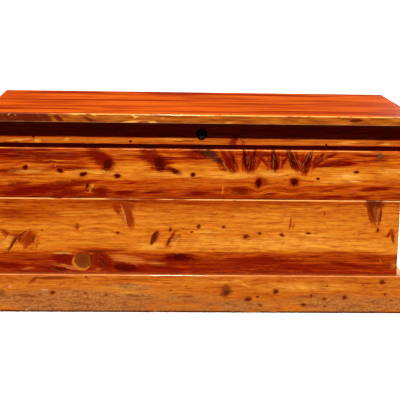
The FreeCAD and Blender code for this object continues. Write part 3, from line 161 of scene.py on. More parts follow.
class Recipe:
    """The node tree of a material or a world, and the few ways in which nodes are added to it."""

    def __init__(self, owner: bpy.types.Material | bpy.types.World) -> None:
        """Empties the owner's node tree, to fill it anew."""
        self.owner = owner
        owner.use_nodes = True
        self.tree = owner.node_tree
        self.tree.nodes.clear()

    @staticmethod
    def named(name: str) -> Recipe:
        """Starts a new material called name."""
        return Recipe(bpy.data.materials.new(name))

    def node(
        self,
        kind: str,
        settings: dict[str, Any] | None = None,
        sockets: dict[str, Any] | None = None,
    ) -> bpy.types.Node:
        """Adds a node of any type.

        Args:
            kind: The node's type, without its ShaderNode prefix.
            settings: Its own settings, set first; "stops" fills a ramp.
            sockets: Value or link of each input, by the input's identifier.

        Returns:
            The new node.
        """
        made = self.tree.nodes.new("ShaderNode" + kind)
        for name, setting in (settings or {}).items():
            if name == "stops":
                self._fill(made.color_ramp, setting)
            else:
                setattr(made, name, setting)
        inputs = {socket.identifier: socket for socket in made.inputs}
        for name, given in (sockets or {}).items():
            if isinstance(given, Signal):
                given = given.socket
            if isinstance(given, bpy.types.NodeSocket):
                self.tree.links.new(given, inputs[name])
            else:
                inputs[name].default_value = given
        return made

    @staticmethod
    def _fill(ramp: bpy.types.ColorRamp, stops: Sequence[tuple[float, Paint]]) -> None:
        """Puts the stops, pairs of place and colour, on a ramp."""
        while len(ramp.elements) < len(stops):
            ramp.elements.new(1.0)
        for element, (place, colour) in zip(ramp.elements, stops):
            element.position = place
            element.color = colour

    def value(
        self,
        kind: str,
        settings: dict[str, Any] | None = None,
        sockets: dict[str, Any] | None = None,
        out: int | str = 0,
    ) -> Signal:
        """Adds a node and wraps one of its outputs as a signal."""
        return Signal(self, self.node(kind, settings, sockets).outputs[out])

    def math(self, operation: str, *terms: Signal | float) -> Signal:
        """Adds a Math node on one to three terms."""
        names = ("Value", "Value_001", "Value_002")
        return self.value("Math", {"operation": operation}, dict(zip(names, terms)))

    def vector(self, operation: str, *terms: Socket | Triple) -> Socket:
        """Adds a Vector Math node on one to three vectors."""
        names = ("Vector", "Vector_001", "Vector_002")
        made = self.node("VectorMath", {"operation": operation}, dict(zip(names, terms)))
        return made.outputs["Vector"]

    def scaled(self, vector: Socket, factor: Signal | float) -> Socket:
        """The vector times one number."""
        sockets = {"Vector": vector, "Scale": factor}
        return self.node("VectorMath", {"operation": "SCALE"}, sockets).outputs["Vector"]

    def blend(
        self, factor: Signal | float, low: Socket | Paint, high: Socket | Paint, way: str = "MIX"
    ) -> Socket:
        """Mixes two colours.

        Args:
            factor: Share of the second colour.
            low: The first colour.
            high: The second colour.
            way: Blend type of the Mix node.

        Returns:
            The mixed colour's socket.
        """
        settings = {"data_type": "RGBA", "blend_type": way}
        sockets = {"Factor_Float": factor, "A_Color": low, "B_Color": high}
        made = self.node("Mix", settings, sockets)
        return next(s for s in made.outputs if s.identifier == "Result_Color")

    def over(
        self, cover: Signal | None, below: Socket, top: Socket | Paint, share: float = 1.0
    ) -> Socket:
        """Lays one colour over another where there is a cover.

        Args:
            cover: Where the top colour lies, or None for nowhere.
            below: The colour below.
            top: The colour on top.
            share: How opaque the top colour is.

        Returns:
            The colour that is seen.
        """
        return below if cover is None else self.blend(cover * share, below, top)

    def ramp(self, place: Signal, stops: Sequence[tuple[float, Paint]]) -> tuple[Socket, Signal]:
        """Looks a colour up along a row of stops, and its opacity with it."""
        made = self.node("ValToRGB", {"stops": stops}, {"Fac": place})
        return made.outputs["Color"], Signal(self, made.outputs["Alpha"])

    def here(self) -> Socket:
        """Where the surface is on its object, in millimetres."""
        return self.scaled(self.node("TexCoord").outputs["Object"], MILLIMETRES)

    def axis(self, vector: Socket, name: str) -> Signal:
        """One coordinate of a vector: X, Y or Z."""
        return self.value("SeparateXYZ", None, {"Vector": vector}, name)

    def reordered(self, vector: Socket, order: Sequence[str]) -> Socket:
        """The vector with its coordinates in another order."""
        parts = self.node("SeparateXYZ", None, {"Vector": vector}).outputs
        turned = {axis: parts[name] for axis, name in zip("XYZ", order)}
        return self.node("CombineXYZ", None, turned).outputs["Vector"]

    def framed(self, vector: Socket, centre: Triple, size: Triple, turn: float = 0.0) -> Socket:
        """The vector as seen from a centre in turned axes, with size as the unit of each axis."""
        rotation = (0.0, 0.0, math.radians(turn))
        sockets = {"Vector": vector, "Location": centre, "Rotation": rotation, "Scale": size}
        return self.node("Mapping", {"vector_type": "TEXTURE"}, sockets).outputs["Vector"]

    def near(self, seen: Socket, faded: float = 0.0) -> Signal:
        """1 at the centre of a framed vector, falling evenly to 0 at its unit, less what faded."""
        sphere = {"gradient_type": "SPHERICAL"}
        near = self.value("TexGradient", sphere, {"Vector": seen}, 1)
        return near - faded if faded else near

    def stretched(self, vector: Socket, rate: Triple, seed: float) -> Socket:
        """The vector times a rate per axis, moved to a stretch of noise of its own.

        Args:
            vector: Where the surface is.
            rate: Factor for each axis.
            seed: Picks the place in the noise.

        Returns:
            The moved vector's socket.
        """
        shift = (seed * 7.31, seed * 3.77, seed * 1.93)
        sockets = {"Vector": vector, "Location": shift, "Scale": rate}
        return self.node("Mapping", {"vector_type": "POINT"}, sockets).outputs["Vector"]

    def noise(
        self,
        vector: Socket,
        kind: Noise,
        seed: float = 0.0,
        run: float = 1.0,
        distortion: float = 0.0,
    ) -> Signal:
        """Stretched noise, about 0.5 on average.

        Args:
            vector: Where the surface is.
            kind: Which noise it is.
            seed: Moves it to another place in the noise.
            run: Multiplies the cells along the grain.
            distortion: How far the noise is bent by itself.

        Returns:
            The noise as a signal.
        """
        rate, own_seed, detail, roughness = kind.value
        sockets = {
            "Vector": self.stretched(vector, (rate[0] * run, rate[1], rate[2]), seed + own_seed),
            "Scale": 1.0,
            "Detail": detail,
            "Roughness": roughness,
            "Distortion": distortion,
        }
        return self.value("TexNoise", None, sockets)

    def drift(self, vector: Socket, rate: Triple, reach: Triple, seed: float) -> Socket:
        """The vector moved to and fro by up to reach, by noise with the given rate."""
        place = self.stretched(vector, rate, seed)
        sockets = {"Vector": place, "Scale": 1.0, "Detail": 1.0}
        colour = self.node("TexNoise", None, sockets).outputs["Color"]
        centred = self.vector("SUBTRACT", colour, (0.5, 0.5, 0.5))
        doubled = (2.0 * reach[0], 2.0 * reach[1], 2.0 * reach[2])
        return self.vector("MULTIPLY_ADD", centred, doubled, vector)

    def finish(
        self,
        colour: Socket | Paint,
        roughness: Signal | float,
        height: Signal | None,
        relief: float,
        constants: dict[str, Any],
    ) -> bpy.types.Material:
        """Joins colour, roughness and relief to the shader.

        Args:
            colour: Base colour.
            roughness: Roughness.
            height: Height of the relief, 0 to 1, or None for a smooth piece.
            relief: Depth of the relief in metres.
            constants: Values of the shader's other sockets.

        Returns:
            The finished material.
        """
        sockets: dict[str, Any] = {"Base Color": colour, "Roughness": roughness, **constants}
        if height is not None:
            bump = {"Height": height, "Distance": relief, "Strength": 1.0}
            sockets["Normal"] = self.node("Bump", None, bump).outputs["Normal"]
        shader = self.node("BsdfPrincipled", None, sockets)
        self.node("OutputMaterial", None, {"Surface": shader.outputs["BSDF"]})
        return self.owner


# ---------------------------------------------------------------- figure of the wood


class Grain(Enum):
    """The axes of a board's length, width and thickness."""

    FRONT = ("X", "Z", "Y")
    SIDE = ("Y", "Z", "X")
    LID = ("X", "Y", "Z")
    POST = ("Z", "X", "Y")
    RAIL = ("Y", "X", "Z")


@dataclass(frozen=True)
class Mark:
    """An oval on a board's face, in millimetres and degrees.

    Attributes:
        along: Its centre along the grain.
        across: Its centre across the grain.
        half: Half its length.
        wide: Half its width.
        turn: How far it turns from the grain, anticlockwise.
        fade: How faint it is: 0 is full, 1 is almost gone.
    """

    along: float
    across: float
    half: float
    wide: float
    turn: float = 0.0
    fade: float = 0.0


def ovals(*rows: tuple[float, ...]) -> tuple[Mark, ...]:
    """Marks from rows of numbers in the order of Mark's fields; what a row leaves out is 0."""
    return tuple(Mark(*map(float, row)) for row in rows)


@dataclass(frozen=True)
class Arris:
    """A worn edge that runs along a board, partly a painted highlight where it catches the light: where
    it is, how far it reaches and how much is left.

    Attributes:
        across: Its place across the grain, in millimetres.
        through: Its place through the thickness, in millimetres.
        reach: How far from the edge the varnish is thin.
        cover: Share of the length that is worn through.
        rate: Breaks per millimetre.
        strength: How pale it is.
        since: Place along the board where the wear begins.
    """

    across: float
    through: float
    reach: float
    cover: float
    rate: float = 0.02
    strength: float = 1.0
    since: float | None = None


@dataclass(frozen=True)
class Figure:
    """What grew in one board, what happened to it since, and the shade and highlights painted on it."""

    heart: tuple[Mark, ...] = ()
    honey: tuple[Mark, ...] = ()
    plumes: tuple[Mark, ...] = ()
    cores: tuple[Mark, ...] = ()
    ash: tuple[Mark, ...] = ()
    stain: tuple[Mark, ...] = ()
    hatch: tuple[Mark, ...] = ()
    veins: tuple[Mark, ...] = ()
    knots: tuple[Mark, ...] = ()
    sound: tuple[Mark, ...] = ()
    worn: tuple[Mark, ...] = ()
    edge: tuple[Mark, ...] = ()
    chips: tuple[Mark, ...] = ()
    scuffs: tuple[Mark, ...] = ()
    arrises: tuple[Arris, ...] = ()
    # Dark lines: painted shade in the rail's groove and at the plinth's foot, and a darkened plinth
    # top.
    shade_and_dark_lines: tuple[Arris, ...] = ()
    # Redness across the width; on the top rail it is painted shade under the lid and in the groove.
    redness_and_shade: tuple[Pair, ...] = ()

    @staticmethod
    def grown(seed: int, low: Pair, high: Pair, arrises: tuple[Arris, ...] = ()) -> Figure:
        """Grows a board's figure from a fixed seed.

        Args:
            seed: Seed of the random numbers.
            low: The face's lowest corner, along and across the grain.
            high: The face's highest corner.
            arrises: The board's worn edges.

        Returns:
            The board's figure.
        """
        chance = np.random.default_rng(seed)
        length, width = high[0] - low[0], high[1] - low[1]
        each = max(1, round(length * width / FACE_PER_KNOT))
        place = Scatter(chance, low, high)
        return Figure(
            heart=place.ovals(each, (60.0, 190.0), (0.08 * width, 0.24 * width), 3.0, 0.5),
            honey=place.ovals(each, (20.0, 70.0), (1.5, 4.0), 3.0, 0.4),
            plumes=place.ovals(each // 2, (14.0, 40.0), (5.0, 11.0), 25.0, 0.5),
            cores=place.ovals(each // 5, (7.0, 14.0), (5.0, 9.0), 60.0, 0.4),
            stain=place.ovals(each // 3, (12.0, 34.0), (3.0, 9.0), 30.0, 0.6),
            hatch=place.ovals(each // 4, (16.0, 32.0), (6.0, 12.0), 50.0, 0.6),
            knots=place.ovals(each, (3.0, 8.0), (2.6, 6.0), 40.0, 0.3),
            arrises=arrises,
        )


@dataclass(frozen=True)
class Scatter:
    """Strews ovals over a board's face.

    Attributes:
        chance: The board's own source of random numbers.
        low: The face's lowest corner, along and across the grain.
        high: The face's highest corner.
    """

    chance: np.random.Generator
    low: Pair
    high: Pair

    def ovals(
        self, count: int, half: Pair, wide: Pair, turn: float, fade: float
    ) -> tuple[Mark, ...]:
        """Strews a number of ovals.

        Args:
            count: How many there are.
            half: Limits of half their length.
            wide: Limits of half their width.
            turn: Usual turn from the grain.
            fade: Faintest fade.

        Returns:
            The ovals.
        """
        length, width = self.high[0] - self.low[0], self.high[1] - self.low[1]
        return tuple(
            Mark(
                self.low[0] + length * float(self.chance.uniform(0.02, 0.98)),
                self.low[1] + width * float(self.chance.uniform(0.06, 0.94)),
                float(self.chance.uniform(*half)),
                float(self.chance.uniform(*wide)),
                float(self.chance.normal(0.0, turn)),
                float(self.chance.uniform(0.0, fade)),
            )
            for _ in range(count)
        )


@dataclass
class Ground:
    """The places that one board's patterns are read at, in millimetres.

    Attributes:
        recipe: The material's recipe.
        place: Along, across and through the board.
        fibre: The same, drawn out along the fibres, for what lies along the grain.
        cross: The same, slightly ragged, for what crosses the grain.
        bent: The same, with the grain bent round the knots.
    """

    recipe: Recipe
    place: Socket
    fibre: Socket
    cross: Socket
    bent: Socket

    @staticmethod
    def lay(recipe: Recipe, grain: Grain, seed: float, sway: float) -> Ground:
        """Lays out the places of a board.

        Args:
            recipe: The material's recipe.
            grain: Which way the grain runs.
            seed: Picks the board's own stretch of noise.
            sway: How far the grain sways to either side.

        Returns:
            The board's ground.
        """
        place = recipe.reordered(recipe.here(), grain.value)
        return Ground(
            recipe,
            place,
            recipe.drift(place, (0.016, 0.16, 0.1), (10.0, 2.6, 0.0), seed + 0.7),
            recipe.drift(place, (0.09, 0.13, 0.1), (2.4, 2.0, 0.0), seed + 0.3),
            recipe.drift(place, (0.0045, 0.014, 0.02), (0.0, sway, 0.0), seed),
        )

    def seen(self, mark: Mark, reach: float, ragged: bool = False) -> Socket:
        """A place as an oval sees it: 0 at its centre, 1 long at reach times its rim.

        Args:
            mark: The oval.
            reach: Scale of the oval.
            ragged: Whether it is ragged all round, as steep ovals always are.

        Returns:
            The place's socket.
        """
        place = self.cross if ragged or abs(mark.turn) > STEEP else self.fibre
        size = (mark.half * reach, mark.wide * reach, FAR)
        return self.recipe.framed(place, (mark.along, mark.across, 0.0), size, mark.turn)

    def union(self, marks: Sequence[Mark], reach: float, ragged: bool = False) -> Signal | None:
        """The nearest oval's closeness: 1 at its centre, 0 at reach times its rim."""
        near = self.recipe.near
        return largest(near(self.seen(each, reach, ragged), each.fade / reach) for each in marks)

    def cover(
        self,
        marks: Sequence[Mark],
        streaks: Signal | None = None,
        limits: Pair = (0.1, 0.7),
    ) -> Signal | None:
        """How far a place lies inside any of the ovals.

        Args:
            marks: The ovals.
            streaks: What breaks them up, about 1 on average.
            limits: Closeness where the cover begins, and where it is full.

        Returns:
            The cover, 0 to 1, or None without ovals.
        """
        near = self.union(marks, RIM)
        if near is None:
            return None
        return (near if streaks is None else near * streaks).step(*limits)

    def feathered(
        self, marks: Sequence[Mark], limits: Pair = (0.2, 0.75)
    ) -> Signal | None:
        """How far a place lies inside any of the ovals, feathered along each oval's own length.

        Args:
            marks: The ovals.
            limits: Closeness where the cover begins, and where it is full.

        Returns:
            The cover, 0 to 1, or None without ovals.
        """
        recipe = self.recipe
        covers = []
        for number, mark in enumerate(marks):
            seen = self.seen(mark, RIM)
            vein = recipe.noise(seen, Noise.VEIN, number * 1.7)
            broken = recipe.math("MULTIPLY_ADD", vein, FEATHER, 1.0 - FEATHER / 2.0)
            covers.append(recipe.near(seen, mark.fade / RIM) * broken)
        joined = largest(covers)
        return None if joined is None else joined.step(*limits)

    def hatched(self, marks: Sequence[Mark]) -> Signal | None:
        """Thin lines that run along each oval's own length.

        Args:
            marks: The ovals.

        Returns:
            The lines' strength, 0 to 1, or None without ovals.
        """
        lines = []
        for number, mark in enumerate(marks):
            seen = self.seen(mark, 1.3, True)
            line = self.recipe.noise(seen, Noise.HATCH, number * 1.3)
            inside = self.recipe.near(seen).step(0.05, 0.5)
            lines.append(line.step(0.56, 0.7, 1.0 - mark.fade) * inside)
        return largest(lines)

    def bend(self, knots: Sequence[Mark]) -> Signal | None:
        """Bends the grain round the knots.

        Args:
            knots: The knots.

        Returns:
            Closeness to the nearest knot, 0 at four times its rim, or None without knots.
        """
        recipe = self.recipe
        ragged = recipe.noise(self.place, Noise.KNOT) * 0.44 + 0.76
        nears = []
        for knot in knots:
            near = recipe.near(self.seen(knot, KNOT_RIM, True))
            away = recipe.vector("SUBTRACT", self.bent, (knot.along, knot.across, 0.0))
            pull = recipe.scaled(away, near.step(0.1, 0.8))
            self.bent = recipe.vector("MULTIPLY_ADD", pull, (0.0, -0.5, 0.0), self.bent)
            nears.append(near - knot.fade / KNOT_RIM if knot.fade else near)
        nearest = largest(nears)
        return None if nearest is None else nearest * ragged


@dataclass(frozen=True)
class Wood:
    """A cedar finish: colours of sapwood and heartwood, the varnish over them, and the colour of
    painted glints.
    """

    sap: Paint = paint(240, 146, 36)
    sap_deep: Paint = paint(200, 92, 4)
    heart: Paint = paint(186, 66, 2)
    heart_deep: Paint = paint(122, 16, 0)
    honey: Paint = paint(248, 168, 60)
    dusk: Paint = paint(116, 12, 0)
    stain: Paint = paint(74, 5, 0)
    smoke: Paint = paint(70, 30, 16)
    # Colour of painted glints, and of the real pale streaks in knots.
    lines: Paint = paint(190, 108, 60)
    glint: Paint = paint(236, 150, 74)
    worn: Paint = paint(250, 182, 84)
    core: Paint = paint(72, 3, 0)
    bark: Paint = paint(116, 18, 2)
    halo: Paint = paint(172, 58, 2)
    edge_tone: Paint = paint(196, 102, 22)
    swing: float = 1.0
    broad: float = 0.35
    run: float = 1.0
    sway: float = 9.0
    gloss: float = 0.3
    coat: float = 0.3
    glints: float = 0.5
    cloudy: float = 0.45
    relief: float = 0.00035

    def tinted(self, **tones: Tone) -> Wood:
        """The same finish with some of its colours changed, by their display values."""
        return replace(self, **{name: paint(*tone) for name, tone in tones.items()})

    def dress(
        self, name: str, grain: Grain, figure: Figure, seed: float, inside: Inside | None = None
    ) -> bpy.types.Material:
        """Makes the material of one board.

        Args:
            name: The material's name.
            grain: Which way the grain runs.
            figure: The board's knots, heartwood, stains and wear.
            seed: Picks the board's own stretch of noise.
            inside: Where its bare inner face begins and how that looks, or None.

        Returns:
            The board's material.
        """
        recipe = Recipe.named(name)
        ground = Ground.lay(recipe, grain, seed, self.sway)
        colour, rough = self._layer(ground, figure, seed)
        coat: Signal | float = self.coat
        if inside is not None:
            bare = inside.mask(recipe, ground.place)
            behind = Ground.lay(recipe, grain, seed + 50.0, self.sway)
            raw, _ = inside.finish._layer(behind, inside.figure, seed + 50.0)
            colour = recipe.blend(bare, colour, raw)
            rough = rough + bare * (inside.finish.gloss - self.gloss)
            coat = bare * -self.coat + self.coat
        constants = {
            "Coat Weight": coat,
            "Coat Roughness": 0.08,
            "Coat IOR": 1.45,
            "Specular IOR Level": 0.14,
        }
        return recipe.finish(colour, rough, self._relief(ground, seed), self.relief, constants)

    def _layer(self, ground: Ground, figure: Figure, seed: float) -> tuple[Socket, Signal]:
        """Paints one face of a board, with painted glints, painted highlights along its edges and
        painted shade.

        Args:
            ground: The board's places.
            figure: The board's knots, heartwood, stains and wear.
            seed: Picks the board's own stretch of noise.

        Returns:
            The face's colour and its roughness.
        """
        recipe = ground.recipe
        knots = ground.bend(figure.knots)
        broad = recipe.noise(ground.bent, Noise.BROAD, seed, self.run)
        streak = recipe.noise(ground.bent, Noise.STREAK, seed)
        fine = recipe.noise(ground.bent, Noise.FINE, seed)
        tone = streak * (1.0 - self.broad) + broad * self.broad
        tone = (tone - 0.5) * self.swing + 0.5
        colour = recipe.blend(tone.step(0.36, 0.66), self.sap, self.sap_deep)
        red = self._red(ground, figure, tone * 3.0 + fine * 1.8 - 1.4)
        if red is not None:
            colour = recipe.blend(red.step(0.0, 0.6), colour, self.heart)
            colour = recipe.blend(red.step(0.35, 1.0), colour, self.heart_deep)
        pale = ground.cover(figure.honey, 2.6 - fine * 3.2)
        colour = recipe.over(pale, colour, self.honey, 0.75)
        colour = recipe.blend(fine.step(0.49, 0.66, 0.85), colour, self.lines, "MULTIPLY")
        colour = recipe.blend(fine.step(0.46, 0.34, 0.6), colour, self.honey, "SOFT_LIGHT")
        # Painted glints where raised grain catches the light.
        colour = recipe.blend(self._painted_glints(ground, seed), colour, self.glint)
        cloud = recipe.noise(ground.cross, Noise.MOTTLE, seed)
        colour = recipe.blend(cloud.step(0.44, 0.68, self.cloudy), colour, self.lines, "MULTIPLY")
        if figure.edge:
            colour = self._edge(ground, colour, figure)
        if figure.scuffs:
            colour = self._scuffed(ground, colour, figure.scuffs)
        # Pale worn edges and patches; along the arrises this is partly a painted highlight.
        worn = self._worn_and_highlit(ground, figure, seed)
        colour = recipe.over(worn, colour, self.worn)
        # Painted shade in the stain colour: the rail's groove and the plinth's foot; it also darkens
        # the plinth's top.
        colour = recipe.over(self._lines(ground, figure.shade_and_dark_lines, seed), colour, self.stain)
        colour = recipe.over(self._clouded(ground, figure.plumes), colour, self.dusk, 0.85)
        dark = ground.feathered(figure.stain)
        if dark is not None:
            colour = recipe.blend(dark.step(0.0, 0.4, 0.85), colour, self.dusk)
            colour = recipe.blend(dark.step(0.25, 0.8, 0.95), colour, self.stain)
        colour = recipe.over(self._clouded(ground, figure.cores), colour, self.stain, 0.95)
        colour = recipe.over(self._clouded(ground, figure.ash), colour, self.smoke, 0.9)
        # Pale lines in knots; on the upper board's red stripe they are painted glints.
        colour = recipe.over(ground.hatched(figure.hatch), colour, self.glint, 0.45)
        colour = recipe.over(ground.feathered(figure.veins), colour, self.glint, 0.65)
        colour = self._sound(ground, self._rings(recipe, colour, knots), figure.sound)
        rough = fine * 0.16 + (self.gloss - 0.08)
        return colour, rough if worn is None else rough + worn * 0.25

    def _red(self, ground: Ground, figure: Figure, streaks: Signal) -> Signal | None:
        """How far the wood has turned to red heartwood; on the top rail this red is partly painted
        shade.

        Args:
            ground: The board's places.
            figure: What grew in the board.
            streaks: The grain, about 1 on average.

        Returns:
            0 in sapwood to 1 in the deepest heartwood, or None where all is sapwood.
        """
        level = tuple(mark for mark in figure.heart if abs(mark.turn) <= STEEP)
        steep = tuple(mark for mark in figure.heart if abs(mark.turn) > STEEP)
        fields = (
            ground.cover(level, streaks, (0.05, 0.85)),
            ground.feathered(steep, (0.1, 0.8)),
            self._redness_and_shade(ground, figure, streaks),
        )
        return largest(fields)

    @staticmethod
    def _clouded(
        ground: Ground, marks: Sequence[Mark], limits: Pair = (0.1, 0.6)
    ) -> Signal | None:
        """Soft patches broken up by small clouds and by the fibres.

        Args:
            ground: The board's places.
            marks: The patches.
            limits: Closeness where a patch begins, and where it is full.

        Returns:
            How far a place lies inside a patch, 0 to 1, or None without patches.
        """
        near = ground.union(marks, RIM, True)
        if near is None:
            return None
        cloud = ground.recipe.noise(ground.cross, Noise.PUFF)
        fibre = ground.recipe.noise(ground.fibre, Noise.FIBRE)
        return (near * (cloud * 2.6 + fibre * 2.2 - 1.4)).step(*limits)

    @staticmethod
    def _relief(ground: Ground, seed: float) -> Signal:
        """Height of the surface: raised grain, and the slow ripple of brushed varnish."""
        raised = ground.recipe.noise(ground.place, Noise.RAISED, seed)
        ripple = ground.recipe.noise(ground.place, Noise.RIPPLE, seed)
        return raised * 0.45 + ripple * 0.55

    @staticmethod
    def _redness_and_shade(ground: Ground, figure: Figure, streaks: Signal) -> Signal | None:
        """How red the board is across its width, by its stops of place and share; on the top rail this
        is painted shade.
        """
        if not figure.redness_and_shade:
            return None
        recipe = ground.recipe
        low, high = figure.redness_and_shade[0][0], figure.redness_and_shade[-1][0]
        across = recipe.axis(ground.fibre, "Y")
        stops = tuple(
            ((at - low) / (high - low), (share, share, share, 1.0)) for at, share in figure.redness_and_shade
        )
        sockets = {"Fac": (across - low) * (1.0 / (high - low))}
        return recipe.value("ValToRGB", {"stops": stops}, sockets) * streaks

    def _painted_glints(self, ground: Ground, seed: float) -> Signal:
        """Painted glints: thin pale hairs where raised grain catches the light, in loose groups."""
        hair = ground.recipe.noise(ground.bent, Noise.GLINT_HAIR, seed)
        group = ground.recipe.noise(ground.place, Noise.GLINT_GROUP, seed)
        return hair.step(0.62, 0.74) * group.step(0.46, 0.62, self.glints)

    def _rings(self, recipe: Recipe, colour: Socket, near: Signal | None) -> Socket:
        """Paints the knots: a dark heart, a bark ring and a red halo."""
        if near is None:
            return colour
        stops = (
            (0.54, (*self.halo[:3], 0.0)),
            (0.67, (*self.halo[:3], 0.5)),
            (0.75, (*self.bark[:3], 0.95)),
            (0.84, self.core),
        )
        over, factor = recipe.ramp(near, stops)
        return recipe.blend(factor, colour, over)

    def _sound(self, ground: Ground, colour: Socket, knots: Sequence[Mark]) -> Socket:
        """Paints round knots that are sound: a brown disc in a dark ring, and a pale crescent."""
        near = ground.union(knots, 2.0, True)
        if near is None:
            return colour
        recipe = ground.recipe
        lower = tuple(
            replace(k, along=k.along - 0.2 * k.wide, across=k.across - 0.3 * k.wide) for k in knots
        )
        streak = recipe.noise(ground.cross, Noise.COLLAR)
        collar = ground.union(lower, 2.0, True) * (streak * 0.5 + 0.75)
        colour = recipe.over(collar.step(0.36, 0.44), colour, paint(206, 118, 30), 0.85)
        ring, disc = paint(78, 14, 2), paint(134, 62, 14)
        stops = (
            (0.41, (*ring[:3], 0.0)),
            (0.45, (*ring[:3], 0.7)),
            (0.49, (*ring[:3], 0.8)),
            (0.54, disc),
            (0.8, paint(116, 46, 8)),
        )
        over, factor = recipe.ramp(near, stops)
        return recipe.blend(factor, colour, over)

    @staticmethod
    def _scuffed(ground: Ground, colour: Socket, scuffs: Sequence[Mark]) -> Socket:
        """Dulls the scuffed places and strews dark and pale specks over them."""
        recipe = ground.recipe
        speck = recipe.noise(ground.place, Noise.SPECK)
        patch = recipe.noise(ground.place, Noise.PATCH)
        blot = recipe.noise(ground.place, Noise.BLOT)
        cover = ground.cover(scuffs, speck * 1.6 + patch * 3.6 - 1.5)
        dull = recipe.blend(cover * 0.6, colour, paint(176, 112, 58))
        dull = recipe.blend(cover * blot.step(0.54, 0.34, 0.7), dull, paint(132, 66, 18))
        dark = recipe.blend(cover * speck.step(0.48, 0.36, 0.8), dull, paint(108, 48, 12))
        return recipe.blend(cover * speck.step(0.56, 0.68, 0.5), dark, paint(228, 162, 102))

    def _worn_and_highlit(self, ground: Ground, figure: Figure, seed: float) -> Signal | None:
        """Where the varnish is worn off, along the arrises and on the scuffed spots; the arris lines
        are partly painted highlights.
        """
        return largest((self._lines(ground, figure.arrises, seed), ground.cover(figure.worn)))

    @staticmethod
    def _lines(ground: Ground, lines: Sequence[Arris], seed: float) -> Signal | None:
        """Broken lines along a board: pale worn edges that are partly painted highlights, and dark
        lines that are mostly painted shade.

        Args:
            ground: The board's places.
            lines: Where they run.
            seed: Picks the board's own stretch of noise.

        Returns:
            Their strength, 0 to 1, or None without lines.
        """
        recipe = ground.recipe
        shown = []
        for line in lines:
            centre, size = (0.0, line.across, line.through), (FAR, line.reach, line.reach)
            near = recipe.near(recipe.framed(ground.place, centre, size)).step(0.0, 0.5, line.strength)
            breaks = recipe.noise(ground.place, Noise.BREAKS, seed + line.across, line.rate)
            near = near * breaks.step(0.58 - 0.32 * line.cover, 0.72 - 0.32 * line.cover)
            if line.since is not None:
                along = recipe.axis(ground.cross, "X")
                near = near * along.step(line.since - 20.0, line.since + 20.0)
            shown.append(near)
        return largest(shown)

    def _edge(self, ground: Ground, colour: Socket, figure: Figure) -> Socket:
        """Paints a board's front edge, with the marks that lie along and through it."""
        recipe = ground.recipe
        turned = recipe.reordered(ground.place, "XZY")
        front = figure.arrises[0].across
        face = recipe.axis(ground.place, "Y").step(front + 1.4, front + 0.5)
        ragged = recipe.drift(turned, (0.05, 0.2, 0.1), (3.0, 1.0, 0.0), 4.4)
        side = replace(ground, place=turned, fibre=ragged, cross=ragged)
        cloud = recipe.noise(turned, Noise.EDGE)
        rim = recipe.blend(cloud.step(0.36, 0.64), self.edge_tone, paint(146, 62, 8))
        rim = recipe.blend(cloud.step(0.42, 0.3, 0.6), rim, paint(218, 140, 60))
        dark = self._clouded(side, figure.edge, (0.02, 0.4))
        rim = recipe.over(dark, rim, paint(96, 20, 2), 0.92)
        rim = recipe.over(side.cover(figure.chips), rim, self.worn)
        return recipe.blend(face, colour, rim)


PLAIN_CEDAR = Wood(gloss=0.6, coat=0.0).tinted(
    sap=(226, 176, 122), sap_deep=(202, 142, 90), heart=(190, 118, 76), heart_deep=(158, 84, 54),
    honey=(240, 202, 150), dusk=(150, 84, 56), stain=(104, 52, 36), lines=(206, 160, 130),
    glint=(238, 200, 158), core=(92, 40, 24), bark=(130, 66, 38), halo=(186, 112, 70),
)
LID_CEDAR = Wood(swing=2.1, broad=0.72, run=1.9, gloss=0.34, glints=0.2, cloudy=0.2).tinted(
    sap=(220, 98, 8), sap_deep=(176, 60, 0), heart=(172, 50, 0), heart_deep=(138, 28, 0),
    honey=(236, 122, 30), lines=(214, 120, 80), dusk=(130, 30, 4),
)


@dataclass(frozen=True)
class Inside:
    """The bare inner face of a board that is varnished outside.

    Attributes:
        start: Place through the thickness where the varnish ends, in millimetres.
        end: Place where the wood is bare.
        figure: What shows on the inner face.
        finish: The bare wood.
    """

    start: float
    end: float
    figure: Figure
    finish: Wood = PLAIN_CEDAR

    def mask(self, recipe: Recipe, place: Socket) -> Signal:
        """1 on the bare inner face, 0 on the varnished one."""
        return recipe.axis(place, "Z").step(self.start, self.end)


def face_of(node: str, grain: Grain) -> tuple[Triple, Triple]:
    """A part's lowest and highest corners along, across and through its grain, in millimetres."""
    low, high = (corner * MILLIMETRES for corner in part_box(node))
    order = ["XYZ".index(axis) for axis in grain.value]
    return tuple(low[i] for i in order), tuple(high[i] for i in order)


def grown_on(node: str, grain: Grain, seed: int, arrises: tuple[Arris, ...] = ()) -> Figure:
    """A figure grown to the size of a part.

    Args:
        node: The part's name.
        grain: Which way its grain runs.
        seed: Seed of the random numbers.
        arrises: The part's worn edges.

    Returns:
        The figure.
    """
    low, high = face_of(node, grain)
    return Figure.grown(seed, low[:2], high[:2], arrises)


# ---------------------------------------------------------------- metals and filler


@dataclass(frozen=True)
class Metal:
    """A metal finish with tarnish, fine scratches and handling marks."""

    bright: Paint
    dull: Paint
    roughness: float
    wear: float = 0.5
    relief: float = 0.00008

    def dress(self, name: str, seed: float) -> bpy.types.Material:
        """Makes the metal's material.

        Args:
            name: The material's name.
            seed: Picks its own stretch of noise.

        Returns:
            The material.
        """
        recipe = Recipe.named(name)
        place = recipe.here()
        cloud = recipe.noise(place, Noise.TARNISH, seed)
        scratch = recipe.noise(place, Noise.SCRATCH, seed, distortion=0.4)
        speck = recipe.noise(place, Noise.PIT, seed)
        tarnish = (cloud * 0.7 + speck * 0.3).step(0.42, 0.64) * self.wear
        colour = recipe.blend(tarnish, self.bright, self.dull)
        rough = tarnish * 0.25 + scratch * 0.14 + (self.roughness - 0.07)
        height = scratch * 0.6 + speck * 0.4
        return recipe.finish(colour, rough, height, self.relief, {"Metallic": 1.0})


